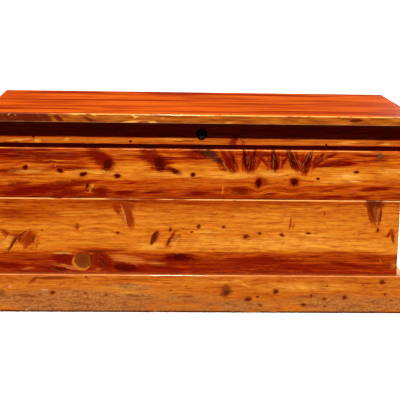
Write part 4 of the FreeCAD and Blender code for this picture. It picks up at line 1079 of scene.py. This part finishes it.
@dataclass(frozen=True)
class Filler:
    """Grey-brown wood filler in the bore of an old screw, dull and slightly sunken."""

    face: Paint = paint(94, 56, 38)
    rim: Paint = paint(52, 18, 10)
    centre: Triple = (404.0, -200.5, 365.5)
    radius: float = 6.2
    relief: float = 0.0002

    def dress(self, name: str) -> bpy.types.Material:
        """Makes the filler's material."""
        recipe = Recipe.named(name)
        place = recipe.here()
        inward = recipe.near(recipe.framed(place, self.centre, (self.radius, FAR, self.radius)))
        cloud = recipe.noise(place, Noise.PASTE)
        grit = recipe.noise(place, Noise.GRIT)
        colour = recipe.blend(cloud.step(0.4, 0.65), self.face, paint(120, 82, 60))
        colour = recipe.blend(inward.step(0.38, 0.0), colour, self.rim)
        return recipe.finish(colour, grit * 0.2 + 0.45, grit + cloud, self.relief, {})


# ---------------------------------------------------------------- boards of the chest


@dataclass
class Lid:
    """The overhanging lid: three boards, their worn front edge, and the battens below."""

    top: float = 458.0
    bottom: float = 439.0
    front: float = -228.5
    finish: Wood = LID_CEDAR
    seed: float = 11.0
    inner_seed: int = 90
    bare_from: float = 0.7
    bare_to: float = 0.1

    def figures(self) -> dict[str, Figure]:
        """The figure of each lid board."""
        worn = Arris(self.front, self.top, 2.3, 0.62, 0.03, 0.95, -292.0)
        front = Figure(
            heart=ovals(
                (-330, -150, 190, 11), (-80, -132, 210, 8, 1), (190, -150, 160, 7, -1),
                (380, -180, 120, 5),
            ),
            honey=ovals((-380, -205, 160, 12, 0, 0.3), (60, -206, 260, 10, 0, 0.4)),
            edge=ovals(
                (-404, 449, 90, 24, 0, 0.4), (-448, 449, 22, 9, -60, 0.1), (-404, 449, 18, 9, -62),
                (-366, 450, 18, 6, -48), (-346, 450, 20, 8, -48), (-316, 446, 14, 6, -40, 0.3),
                (-250, 446, 26, 6, -20, 0.6), (342, 449, 13, 3.6, 5),
            ),
            chips=ovals(
                (-424, 454, 6, 1.6, 40, 0.4), (-410, 453, 5, 1.2, -50, 0.5), (-283, 456.5, 10, 1.9, -6),
                (-262, 457, 8, 1.5, 0, 0.2), (-240, 456, 7, 2, -12), (-152, 454.5, 10, 2, -25),
                (-146, 451.5, 7, 1.5, 20), (-158, 440.8, 20, 2, 4), (-110, 440.8, 10, 1.8),
                (-88, 450, 6, 1.5, 20, 0.3), (60, 441, 16, 1.4, 0, 0.4),
            ),
            arrises=(worn, Arris(self.front, self.bottom, 1.6, 0.2, 0.03, 0.3)),
        )
        middle = Figure(
            heart=ovals((-200, 18, 240, 9), (180, -20, 220, 9), (330, 40, 160, 7)),
            honey=ovals((-100, -30, 260, 16, 0, 0.5), (240, 30, 160, 8, 0, 0.4)),
        )
        back = Figure(
            heart=ovals((-60, 168, 360, 24), (300, 150, 160, 9, 0, 0.3)),
            honey=ovals((-280, 100, 180, 14, 0, 0.4), (120, 110, 260, 10, 0, 0.4)),
        )
        return {"lid_front_board": front, "lid_middle_board": middle, "lid_back_board": back}

    def dress(self) -> None:
        """Gives each lid board its finish; the underside is bare."""
        for step, (node, figure) in enumerate(self.figures().items()):
            below = grown_on(node, Grain.LID, self.inner_seed + step)
            bare = Inside(self.bottom + self.bare_from, self.bottom + self.bare_to, below)
            made = self.finish.dress(node + "_varnish", Grain.LID, figure, self.seed + step, bare)
            assign(node, made)


@dataclass
class Front:
    """The front wall: a rail, three boards and the plinth, in millimetres on their faces."""

    face: float = -200.5
    inner: float = -181.5
    plinth_face: float = -219.5
    plinth_top: float = 89.0
    finish: Wood = Wood()
    seed: float = 21.0
    inner_seed: int = 95
    plinth_seed: float = 29.0

    def rail(self) -> Figure:
        """The top rail, with its dark knot, its pale streaks, a notch, and painted shade in the groove
        and under the lid.
        """
        return Figure(
            # The two long red ovals lie in the lid's shadow band: painted shade.
            heart=ovals((-120, 415, 460, 10, 0, 0.2), (300, 416, 220, 10, 0, 0.2)),
            honey=ovals(
                (-408, 394, 26, 2.6, 6), (-366, 392, 8, 4), (-300, 396, 8, 3), (-66, 398.5, 46, 2),
                (330, 394, 24, 3, 4), (415, 393, 22, 5, 0, 0.4),
            ),
            knots=ovals((-374, 401, 3, 2.2), (-158, 392, 3.2, 2.4), (281, 390, 2.6, 2.4)),
            plumes=ovals(
                (-40, 395, 30, 2, 0, 0.2), (72, 396, 17, 9, 60), (92, 394, 14, 7, -40, 0.4),
                (404, 396, 18, 6, 0, 0.6), (-420, 389, 60, 2.4, 0, 0.5), (-250, 389.5, 50, 2, 0, 0.6),
                (200, 400, 40, 1.6, 0, 0.6),
            ),
            cores=ovals((76, 398, 12, 5, 70, 0.2)),
            hatch=ovals((86, 394, 18, 7, -55, 0.3)),
            # Painted shade in the groove below the lit strip.
            shade_and_dark_lines=(Arris(381.0, -191.0, 9.4, 1.0, 0.01, 0.75),),
            # Painted shade: red in the groove (376 to 387) and where the lid's shadow falls (403 to
            # 426), pale on the lit strip between.
            redness_and_shade=(
                (376.0, 1.0),
                (387.0, 1.0),
                (388.0, 0.1),
                (400.0, 0.1),
                (403.0, 0.9),
                (426.0, 0.9),
                (434.0, 0.3),
                (439.0, 0.2),
            ),
        )

    def upper(self) -> Figure:
        """The upper board: a red stripe, three dark plumes and a row of feathered spikes."""
        return Figure(
            heart=ovals(
                (-430, 365, 300, 25, -2.5), (-110, 358, 130, 11, -4, 0.2),
                (-222, 352, 38, 24, -20, 0.1), (-135, 360, 34, 12, -10, 0.1),
                (-94, 344, 40, 22, 0, 0.1), (-20, 362, 50, 14, -6, 0.2), (150, 366, 130, 9, 0, 0.1),
                (130, 350, 30, 10, 70, 0.3), (262, 352, 24, 13, 52, 0.1), (290, 363, 34, 7, 24, 0.2),
                (60, 351, 36, 24, -58), (106, 350, 32, 20, -88), (142, 352, 24, 8, -48, 0.1),
                (166, 350, 31, 20, -88), (190, 352, 24, 8, 60, 0.2), (212, 352, 30, 15, -66),
                (238, 350, 31, 21, 78), (270, 360, 18, 9, 60, 0.2), (315, 349, 48, 12, 3),
                (278, 342, 40, 6, 6, 0.1), (390, 366, 66, 5, 0, 0.1), (366, 352, 50, 4, -3, 0.3),
                (408, 358, 60, 11, 0, 0.4), (-376, 280, 110, 16, 5), (-404, 322, 130, 18, 0, 0.4),
                (-300, 288, 80, 9, 12), (-296, 331, 130, 14, 0, 0.5), (-226, 279, 24, 17, 0, 0.2),
                (-160, 297, 40, 6, 4, 0.45), (-176, 276, 46, 9, 8, 0.1), (-96, 278, 62, 8, 6, 0.1),
                (-6, 275, 50, 10, 2, 0.3), (94, 283, 54, 16, 0, 0.3), (160, 276, 50, 9, 4, 0.1),
                (226, 272, 40, 6, 4, 0.3), (286, 284, 60, 7, 14, 0.2), (296, 270, 60, 6, 5, 0.2),
                (396, 289, 62, 9, 5, 0.1), (372, 272, 60, 7, 4, 0.1),
            ),
            honey=ovals(
                (336, 317, 38, 11, -2), (300, 306, 44, 4, 0, 0.2), (165, 322, 64, 10, 0, 0.2),
                (70, 318, 60, 9, 0, 0.1), (-50, 318, 90, 8, -2, 0.3), (-230, 322, 80, 8, -3, 0.3),
                (-385, 322, 60, 8, 0, 0.4), (440, 330, 50, 10, 0, 0.3), (-246, 286, 10, 3, 66),
                (50, 284, 19, 3, 80, 0.6),
            ),
            plumes=ovals(
                (-230, 358, 36, 15, -38), (-210, 341, 19, 17, 80), (-115, 362, 24, 16, -30),
                (-92, 343, 20, 16, -65), (-110, 334, 7, 5, 0, 0.4), (-66, 329, 24, 7, -22),
                (2, 367, 30, 10, -14), (46, 343, 22, 7, -50, 0.1), (66, 336, 18, 9, -40, 0.2),
                (-410, 293, 34, 7, 10, 0.2), (-326, 290, 60, 10, 10), (-404, 274, 34, 8, 6, 0.1),
                (-298, 274, 46, 8, 8, 0.1), (-226, 277, 24, 14), (-160, 277, 32, 7, 12, 0.4),
                (-8, 275, 46, 9, 3, 0.4), (90, 280, 50, 12, 0, 0.5), (141, 306, 15, 6, -20, 0.2),
            ),
            cores=ovals(
                (-209, 341, 12, 10, 80), (-93, 343, 17, 11, -65), (-60, 327, 13, 5, -22),
                (0, 369, 20, 6, -12, 0.2), (42, 352, 14, 5, -48),
            ),
            ash=ovals((24, 364, 23, 11, -30)),
            stain=ovals(
                (72, 356, 20, 5, -72, 0.3), (100, 352, 27, 6, -80), (116, 353, 25, 7, 76),
                (165, 353, 26, 10, -86), (205, 355, 28, 10, -66), (240, 354, 26, 9, 66, 0.1),
                (-254, 291, 12, 6, 60, 0.4),
            ),
            hatch=ovals(
                # The first two lines lie on the red stripe and are painted glints; the rest are pale
                # streaks in the spikes.
                (-380, 364, 60, 10, -2, 0.7), (-300, 362, 50, 9, -5, 0.7), (62, 351, 31, 18, -62, 0.4),
                (108, 352, 27, 13, -86), (146, 354, 24, 8, -50, 0.5), (172, 352, 26, 12, -88, 0.2),
                (212, 352, 30, 12, -62), (240, 351, 28, 12, 72, 0.1), (268, 358, 20, 8, 56, 0.3),
            ),
            veins=ovals(
                (-384, 336, 6, 2.2, 60, 0.3), (-327, 336, 5, 2, -55, 0.3), (-320, 321, 6, 2, -30, 0.3),
                (-273, 316, 7, 2.4, -68, 0.1), (-195, 310, 6, 2, -35, 0.2),
                (54, 340, 20, 1.3, -52, 0.3),
            ),
            knots=ovals(
                (-393, 331, 7, 5, 20, 0.1), (-331, 337, 3.6, 4.6, 30, 0.6), (-316, 325, 8, 5, -20),
                (-264, 317, 9, 5, 10), (-188, 314, 7.4, 5), (-18, 318, 5.4, 4.8),
                (131, 301, 8, 12, -10), (212, 304, 10, 9), (265, 312, 3.6, 3),
                (352, 328, 6, 3.6, 8, 0.1),
            ),
            worn=ovals((334, 319, 32, 5, -3, 0.45), (350, 307, 20, 3, 0, 0.5)),
            # The pale top edge is partly a painted highlight where the edge catches the light.
            arrises=(
                Arris(376.0, self.face, 2.4, 0.8, 0.012, 0.2),
                Arris(376.0, self.face, 2.6, 0.6, 0.012, 0.5, -250.0),
            ),
            redness_and_shade=(
                (264.0, 0.66),
                (286.0, 0.5),
                (300.0, 0.34),
                (314.0, 0.1),
                (340.0, 0.12),
                (352.0, 0.38),
                (376.0, 0.5),
            ),
        )

    def middle(self) -> Figure:
        """The middle board: even honey sapwood with pin knots and two spike knots."""
        return Figure(
            heart=ovals(
                (-60, 254, 480, 10, 0, 0.4), (-420, 228, 240, 40, 0, 0.55), (-414, 172, 60, 26, 0, 0.5),
                (-172, 246, 44, 20, 0, 0.2), (-162, 222, 34, 12, -74), (-190, 240, 22, 9, -60, 0.1),
                (-386, 164, 24, 22, 60), (-436, 176, 26, 9, -45, 0.1), (-279, 197, 12, 6, 80, 0.2),
                (-230, 140, 60, 6), (330, 139, 140, 5, 0, 0.2), (20, 138, 90, 5, 0, 0.3),
                (444, 180, 20, 5, -80), (436, 186, 12, 5, 58), (-66, 170, 24, 6, 60),
                (-48, 174, 14, 10, 70, 0.4), (206, 206, 18, 3.4, 84, 0.2), (214, 202, 14, 3, 84, 0.4),
                (284, 232, 12, 3, 86, 0.3), (392, 232, 38, 14, -74, 0.2),
            ),
            honey=ovals(
                (-173, 226, 34, 4, -72.5, 0.5), (-434, 162, 18, 9, 50, 0.2),
                (-112, 152, 40, 11, 0, 0.2), (-56, 158, 22, 5, 60, 0.1), (15, 186, 36, 3),
                (26, 178, 28, 2.6, 0, 0.2), (20, 170, 24, 2.8), (86, 228, 18, 2.4, 0, 0.2),
                (190, 175, 24, 3, 0, 0.1), (262, 181, 44, 3.4, -3), (405, 222, 26, 3.6, -88, 0.5),
                (160, 160, 360, 22, 0, 0.4),
            ),
            stain=ovals(
                (-160, 257, 60, 5, -3, 0.45), (-424, 156, 24, 4, 58, 0.1), (-440, 182, 12, 4, -45, 0.3),
                (-404, 176, 18, 4, 36, 0.2), (-378, 166, 18, 4, 86, 0.35), (-408, 166, 12, 5, 70, 0.3),
                (-103, 172, 18, 9, 62), (-70, 164, 22, 3.6, 60, 0.25), (-67, 192, 10, 4, 84, 0.3),
                (-54, 188, 8, 3, 20, 0.4), (394, 230, 38, 6, -75, 0.3), (412, 226, 38, 5, 84, 0.3),
                (408, 193, 8, 5, 80, 0.2), (-236, 138, 34, 4, 0, 0.2), (443, 176, 16, 3, -82, 0.35),
            ),
            plumes=ovals(
                (-184, 261.5, 26, 4), (-172, 248, 30, 14, -60, 0.3), (-168, 222, 34, 9, -72, 0.3),
                (-386, 166, 16, 13, 60, 0.3), (399, 253, 22, 12), (402, 232, 34, 12, -86, 0.3),
                (-232, 138, 40, 5), (-56, 170, 20, 10, 60, 0.7), (110, 138, 120, 3, 0, 0.4),
            ),
            cores=ovals((399, 256, 20, 11), (390, 240, 12, 5, -72, 0.2), (-103, 174, 14, 5, 62, 0.3)),
            hatch=ovals((402, 230, 28, 9, -86, 0.6), (-160, 222, 30, 12, -76, 0.8)),
            veins=ovals(
                (-436, 168, 16, 1.8, 58, 0.2), (-446, 160, 12, 1.7, 40, 0.3),
                (-57, 166, 18, 1.7, 60, 0.2), (-172, 222, 40, 4, -76, 0.35),
            ),
            knots=ovals(
                (-357, 188, 5, 2.6, -20, 0.4), (-187, 183, 4.6, 2.8), (-277, 195, 4.4, 6, 30, 0.5),
                (-18, 185, 4, 2.4, 0, 0.2), (-3, 199, 4, 5.6, 0, 0.1), (54, 198, 4.4, 3.4, 0, 0.1),
                (105, 176, 7, 4.6, 10), (137, 183, 5, 2.6), (188, 180, 6, 3.6, -10), (249, 185, 6.4, 3),
                (34, 254, 3.6, 3, 0, 0.3), (78, 258, 3.6, 2.4, 0, 0.2),
            ),
            # The pale seam line is partly a painted highlight on the lit bevel.
            arrises=(Arris(261.6, self.face, 3.0, 0.9, 0.008, 0.72),),
            redness_and_shade=((136.0, 0.3), (150.0, 0.0), (215.0, 0.1), (236.0, 0.3), (264.0, 0.75)),
        )

    def lower(self) -> Figure:
        """The lower board: deep red heartwood, one round knot and purple stains."""
        return Figure(
            heart=ovals(
                (-430, 102, 90, 16), (-310, 122, 50, 18), (-322, 97, 56, 10, -4),
                (-222, 114, 42, 26, -12), (-162, 98, 40, 16), (-56, 124, 70, 14, 0, 0.1),
                (-60, 97, 110, 9, -3, 0.1), (130, 116, 170, 22), (216, 104, 170, 18),
                (352, 110, 90, 10, -6), (390, 126, 80, 7, 0, 0.2),
            ),
            honey=ovals(
                (-300, 104, 40, 3.4, -16, 0.2), (-390, 97, 22, 5, 6, 0.4), (-232, 96, 22, 4, 14, 0.5),
                (-166, 121, 46, 10, -8, 0.1), (-100, 112, 40, 9, -6, 0.5), (448, 110, 16, 16, 0, 0.6),
            ),
            plumes=ovals(
                (-430, 106, 44, 8, -3, 0.2), (-309, 121, 26, 12), (-326, 97, 40, 7, -6),
                (-220, 116, 28, 17, -52), (-163, 101, 36, 12, -8), (-44, 123, 42, 14),
                (-70, 99, 44, 4, -2, 0.1), (180, 120, 110, 8, 0, 0.5), (352, 108, 46, 5, -9, 0.1),
            ),
            cores=ovals(
                (-48, 126, 36, 10, 0, 0.25), (-172, 100, 27, 9, -8, 0.15), (-326, 96, 34, 4, -8, 0.4),
                (-222, 112, 20, 10, -52, 0.5),
            ),
            stain=ovals((-150, 102, 26, 4, -24, 0.4)),
            hatch=ovals((-322, 99, 44, 9, -14, 0.4), (-222, 116, 26, 14, -54, 0.7)),
            veins=ovals(
                (-306, 101, 36, 1.8, -14, 0.2), (-146, 108, 20, 1.3, -26, 0.5),
                (417, 122, 8, 1.4, -70, 0.2),
            ),
            knots=ovals((214, 119, 2.6, 2.2)),
            sound=ovals((-265, 118.5, 16.5, 18, 90)),
            arrises=(Arris(134.0, self.face, 2.4, 0.05, 0.01, 0.6),),
            redness_and_shade=((89.0, 1.0), (100.0, 0.9), (122.0, 0.7), (136.0, 0.6)),
        )

    def plinth(self) -> Figure:
        """The plinth: pale sapwood, many pin knots, a scuffed foot with a painted contact shadow along
        it, and a darkened top.
        """
        return Figure(
            heart=ovals(
                (-160, 76, 140, 8, 0, 0.4), (390, 73, 60, 6, 0, 0.5), (-330, 80, 60, 5, 0, 0.1),
                (-376, 76, 16, 5, 44, 0.1), (62, 51, 16, 20, 0, 0.1), (-388, 37, 34, 5, -4, 0.3),
                (-150, 39, 24, 5, -6, 0.3), (-30, 39, 28, 6, 0, 0.3), (250, 40, 60, 6, 0, 0.5),
            ),
            honey=ovals(
                (-165, 60, 40, 7, 0, 0.2), (66, 74, 36, 3.4, 4, 0.1), (104, 66, 18, 3, -22, 0.2),
                (-160, 45, 36, 6, 0, 0.3), (240, 62, 160, 12, 0, 0.4),
            ),
            stain=ovals(
                (-330, 83, 50, 3, 0, 0.7), (-380, 76, 13, 3.6, 46, 0.6), (258, 42, 12, 4, 80, 0.5),
            ),
            plumes=ovals(
                (62, 50, 15, 15, 80, 0.3), (-450, 44, 12, 12, 0, 0.2), (-392, 38, 36, 6, -4, 0.4),
                (-150, 40, 30, 6, -6, 0.4), (-30, 39, 30, 6, 0, 0.5), (-330, 83, 56, 3.6, 0, 0.6),
                (258, 42, 10, 9, 0, 0.5),
            ),
            cores=ovals((62, 49, 12, 11, 80, 0.45)),
            knots=ovals(
                (-333, 46, 7, 4.6, 10, 0.1), (-259, 45, 5, 3.4, 0, 0.3), (-212, 42, 4.4, 3.4, 0, 0.3),
                (-258, 83, 4, 2.4, -30, 0.2), (-316, 64, 4, 2.4, 30, 0.5), (-64, 53, 4, 2, 0, 0.3),
                (-30, 62, 3.6, 2.4, 0, 0.5), (113, 33, 9, 5.4), (134, 39, 4.4, 2.6, 0, 0.1),
                (141, 19, 7, 5, 0, 0.45), (176, 51, 6.4, 5.8, 30), (241, 20, 9, 5, -10, 0.2),
                (258, 41, 2.6, 7, -10, 0.25), (289, 34, 6.4, 4.2, 0, 0.3), (293, 65, 4, 2, 0, 0.3),
                (290, 17, 6, 4, 0, 0.5), (335, 38, 5.8, 4.6, 10), (376, 68, 4.4, 2, 0, 0.5),
                (421, 75, 6.6, 5.8), (429, 46, 3.6, 4.4, 0, 0.3), (442, 31, 6, 3, 0, 0.4),
            ),
            worn=ovals(
                (-431, 60, 4.6, 2.2), (-351, 53, 16, 3.6, 0, 0.3), (-395, 4, 3.6, 3.6),
                (-102, 3, 6, 2.4), (421, 75, 2.2, 2.2),
            ),
            scuffs=ovals(
                (-270, 22, 300, 28), (60, 12, 240, 18, 0, 0.1), (350, 18, 180, 24),
                (-160, 60, 60, 12, 0, 0.3),
            ),
            # The pale top arris is partly a painted highlight.
            arrises=(Arris(self.plinth_top, self.plinth_face, 2.2, 0.9, 0.02, 0.6),),
            shade_and_dark_lines=(
                # Darkens the plinth's top face where it meets the boards.
                Arris(self.plinth_top, self.face, 17.0, 1.0, 0.01, 0.75),
                # Painted contact shadow along the plinth's foot.
                Arris(0.0, self.plinth_face, 6.0, 1.0, 0.01, 0.9),
            ),
            redness_and_shade=((0.0, 0.35), (25.0, 0.15), (60.0, 0.05), (80.0, 0.2), (89.0, 0.4)),
        )

    def dress(self) -> None:
        """Gives the front's boards their finish; their inner faces are bare."""
        # The rail's deep red heart colours make its painted shade maroon.
        rail = replace(self.finish, cloudy=0.2).tinted(
            stain=(110, 6, 2), sap=(212, 114, 28), sap_deep=(164, 68, 8), heart=(188, 52, 6),
            heart_deep=(156, 26, 2),
        )
        middle = replace(self.finish, swing=0.75, glints=0.35).tinted(
            sap=(242, 154, 44), sap_deep=(204, 98, 8), heart=(190, 84, 6), heart_deep=(156, 50, 4),
            dusk=(144, 50, 6), stain=(100, 30, 2), worn=(246, 174, 90), core=(110, 32, 4),
            bark=(148, 58, 8), halo=(190, 88, 12),
        )
        lower = replace(self.finish, swing=0.8).tinted(
            heart=(196, 84, 8), heart_deep=(138, 32, 2), honey=(222, 132, 48),
        )
        boards = {
            "front_top_rail": (self.rail(), rail),
            "front_upper_board": (self.upper(), self.finish),
            "front_middle_board": (self.middle(), middle),
            "front_lower_board": (self.lower(), lower),
        }
        for step, (node, (figure, finish)) in enumerate(boards.items()):
            behind = grown_on(node, Grain.FRONT, self.inner_seed + step)
            bare = Inside(self.inner - VARNISH_END, self.inner - BARE_START, behind)
            made = finish.dress(node + "_varnish", Grain.FRONT, figure, self.seed + step, bare)
            assign(node, made)
        foot = replace(self.finish, gloss=0.42, swing=0.7).tinted(
            sap=(226, 134, 38), sap_deep=(194, 98, 16), heart=(178, 84, 10), heart_deep=(146, 56, 6),
            dusk=(142, 66, 18), stain=(92, 36, 14), worn=(224, 150, 88), core=(104, 32, 4),
            bark=(144, 60, 10), halo=(180, 84, 14),
        )
        made = foot.dress("plinth_front_varnish", Grain.FRONT, self.plinth(), self.plinth_seed)
        assign("plinth_front", made)


@dataclass
class Sides:
    """The back and the two ends: rails, boards and plinths, each with a figure of its own."""

    finish: Wood = Wood()
    rows: tuple[str, ...] = ("lower_board", "middle_board", "upper_board", "top_rail")
    seed: int = 41
    inner_seeds: int = 60

    def dress(self) -> None:
        """Gives every board of the back and the ends its finish."""
        walls = (("back", Grain.FRONT), ("left", Grain.SIDE), ("right", Grain.SIDE))
        boards = [
            (node, grain, wall)
            for wall, grain in walls
            for node in (*(f"{wall}_{row}" for row in self.rows), f"plinth_{wall}")
        ]
        for seed, (node, grain, wall) in enumerate(boards, self.seed):
            self._board(node, grain, wall, seed)

    def _board(self, node: str, grain: Grain, wall: str, seed: int) -> None:
        """Dresses one board.

        Args:
            node: The board's node.
            grain: Which way its grain runs.
            wall: The wall that it is part of.
            seed: Its own seed.
        """
        low, high = face_of(node, grain)
        outer, inner = (low[2], high[2]) if wall == "left" else (high[2], low[2])
        towards = 1.0 if inner > outer else -1.0
        bare = None
        if not node.startswith("plinth"):
            behind = grown_on(node, grain, seed + self.inner_seeds)
            bare = Inside(inner - VARNISH_END * towards, inner - BARE_START * towards, behind)
        # Each board's pale top edge is partly a painted highlight.
        figure = grown_on(node, grain, seed, (Arris(high[1], outer, 3.4, 0.75, 0.015, 0.8),))
        made = self.finish.dress(node + "_varnish", grain, figure, float(seed), bare)
        assign(node, made)


@dataclass
class Carcass:
    """The unvarnished cedar: floor boards, cleats, bearer, corner posts and lid battens."""

    finish: Wood = PLAIN_CEDAR
    seed: int = 71

    def dress(self) -> None:
        """Gives each plain piece its finish."""
        across = ("floor_bearer", "floor_cleat_left", "floor_cleat_right")
        corners = ("front_left", "front_right", "back_right", "back_left")
        runs = {
            Grain.LID: [f"floor_board_{place}" for place in ("front", "middle", "back")],
            Grain.RAIL: [*across, "lid_batten_left", "lid_batten_right"],
            Grain.POST: [f"corner_post_{corner}" for corner in corners],
        }
        pieces = [(node, grain) for grain, nodes in runs.items() for node in nodes]
        for seed, (node, grain) in enumerate(pieces, self.seed):
            figure = grown_on(node, grain, seed)
            assign(node, self.finish.dress(node + "_cedar", grain, figure, float(seed)))


@dataclass
class Fittings:
    """Lock, hinges, stays, screws and the plug of filler."""

    brass: Metal = Metal(paint(214, 170, 88), paint(140, 98, 44), 0.3)
    steel: Metal = Metal(paint(176, 176, 178), paint(104, 98, 92), 0.34)
    bronze: Metal = Metal(paint(78, 40, 28), paint(42, 18, 12), 0.42, 0.7)
    nickel: Metal = Metal(paint(168, 144, 116), paint(98, 78, 58), 0.36, 0.6)
    filler: Filler = Filler()

    def dress(self) -> None:
        """Gives each fitting its metal."""
        brass = self.brass.dress("aged_brass", 1.0)
        steel = self.steel.dress("plated_steel", 5.0)
        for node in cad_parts:
            if node.startswith(("hinge_", "stay_")):
                assign(node, brass)
            if node.endswith("_screws") or node in ("lock_case", "lock_bolt", "lock_strike"):
                assign(node, steel)
        assign("lock_escutcheon", self.bronze.dress("dark_bronze", 9.0))
        assign("lock_cylinder", self.nickel.dress("worn_nickel", 13.0))
        assign("front_plug", self.filler.dress("wood_filler"))


def assign(node: str, material: bpy.types.Material) -> None:
    """Puts a material in every slot of a part, and reports it.

    Args:
        node: The part's name.
        material: Its material.
    """
    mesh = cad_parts[node].data
    if not mesh.materials:
        mesh.materials.append(material)
    for slot in range(len(mesh.materials)):
        mesh.materials[slot] = material
    LOG.info("%s is finished with %s", node, material.name)


# ---------------------------------------------------------------- studio


@dataclass
class Studio:
    """A pale floor, soft light from above and behind, and the camera."""

    eye: Triple = (-0.1115, -2.6571, 0.7861)
    yaw: float = 0.0449
    pitch: float = 0.2106
    roll: float = 0.0183
    lens: float = 100.0
    sensor: float = 36.0
    sight: float = 200.0
    floor_size: float = 60.0

    @staticmethod
    def stand(name: str, data: Any) -> bpy.types.Object:
        """Puts a new object into the scene."""
        holder = bpy.data.objects.new(name, data)
        bpy.context.scene.collection.objects.link(holder)
        return holder

    def camera(self) -> None:
        """Stands the camera in front, looking slightly down."""
        sin_yaw, cos_yaw = math.sin(self.yaw), math.cos(self.yaw)
        ahead = Vector(
            (
                sin_yaw * math.cos(self.pitch),
                cos_yaw * math.cos(self.pitch),
                -math.sin(self.pitch),
            )
        )
        level = Vector((cos_yaw, -sin_yaw, 0.0))
        above = level.cross(ahead)
        right = level * math.cos(self.roll) + above * math.sin(self.roll)
        above = right.cross(ahead)
        turn = Matrix((right, above, -ahead)).transposed()
        lens = bpy.data.cameras.new("camera")
        lens.lens = self.lens
        lens.sensor_width = self.sensor
        lens.clip_end = self.sight
        holder = self.stand("camera", lens)
        holder.matrix_world = Matrix.Translation(self.eye) @ turn.to_4x4()
        bpy.context.scene.camera = holder

    def lamp(self, name: str, kind: str, power: float, source: Vector) -> bpy.types.Object:
        """Adds a lamp of a kind and power that shines from its source's direction."""
        light = bpy.data.lights.new(name, kind)
        light.energy = power
        holder = self.stand(name, light)
        holder.rotation_mode = "QUATERNION"
        holder.rotation_quaternion = source.to_track_quat("Z", "Y")
        return holder

    def sun(self, name: str, azimuth: float, height: float, power: float, soft: float) -> None:
        """Adds a distant lamp.

        Args:
            name: The lamp's name.
            azimuth: Where it stands: 0 is in front, 90 on the right, in degrees.
            height: Its height above the horizon, in degrees.
            power: Light on a face turned to it.
            soft: Its width in the sky, in degrees.
        """
        side, rise = math.radians(azimuth), math.radians(height)
        level = math.cos(rise)
        source = Vector((math.sin(side) * level, -math.cos(side) * level, math.sin(rise)))
        self.lamp(name, "SUN", power, source).data.angle = math.radians(soft)

    def softbox(self, name: str, at: Triple, target: Triple, size: float, power: float) -> None:
        """Adds a square soft light that isn't seen itself.

        Args:
            name: The lamp's name.
            at: Where it hangs, in metres.
            target: What it faces.
            size: Its side.
            power: Its power in watts.
        """
        holder = self.lamp(name, "AREA", power, Vector(at) - Vector(target))
        holder.data.size = size
        holder.location = at
        holder.visible_camera = False

    def surroundings(self) -> None:
        """A pale room: white where it is looked at, dim where it lights the chest."""
        world = bpy.data.worlds.new("room")
        recipe = Recipe(world)
        path = recipe.node("LightPath").outputs
        glossy = Signal(recipe, path["Is Glossy Ray"])
        tint = {"Color": (1.0, 0.78, 0.7, 1.0), "Strength": glossy * -0.09 + 0.1}
        lit = recipe.node("Background", None, tint).outputs[0]
        seen = recipe.node("Background", None, {"Color": (1.0, 1.0, 1.0, 1.0)}).outputs[0]
        sockets = {"Fac": path["Is Camera Ray"], "Shader": lit, "Shader_001": seen}
        mix = recipe.node("MixShader", None, sockets).outputs[0]
        recipe.node("OutputWorld", None, {"Surface": mix})
        bpy.context.scene.world = world
        bpy.context.scene.view_settings.view_transform = "Standard"

    def floor(self) -> None:
        """Lays a plain pale floor, which throws little light back at the chest."""
        half = self.floor_size / 2.0
        corners = ((-half, -half, 0.0), (half, -half, 0.0), (half, half, 0.0), (-half, half, 0.0))
        mesh = bpy.data.meshes.new("studio_floor")
        mesh.from_pydata(corners, [], [(0, 1, 2, 3)])
        recipe = Recipe.named("pale_floor")
        mesh.materials.append(recipe.finish(paint(250, 250, 250), 0.9, None, 0.0, {}))
        plane = self.stand("studio_floor", mesh)
        plane.visible_diffuse = False
        plane.visible_glossy = False

    def build(self) -> None:
        """Sets up floor, light and camera."""
        self.camera()
        self.surroundings()
        self.floor()
        self.sun("key_light", azimuth=2.0, height=53.2, power=5.3, soft=3.0)
        self.sun("back_light", azimuth=150.0, height=62.0, power=0.7, soft=20.0)
        for name, azimuth in (("left_light", -112.0), ("right_light", 112.0)):
            self.sun(name, azimuth, height=22.0, power=1.55, soft=20.0)
        self.softbox("lid_sheen", at=(1.5, 2.6, 0.85), target=(0.4, 0.0, 0.45), size=0.6, power=13.0)


def main() -> None:
    """Builds the studio and dresses every part in turn."""
    logging.basicConfig(level=logging.INFO, format="%(name)s: %(message)s")
    Studio().build()
    LOG.info("the studio stands")
    for part in (Lid(), Front(), Sides(), Carcass(), Fittings()):
        part.dress()
        LOG.info("%s: done", type(part).__name__)


if __name__ == "__main__":
    main()
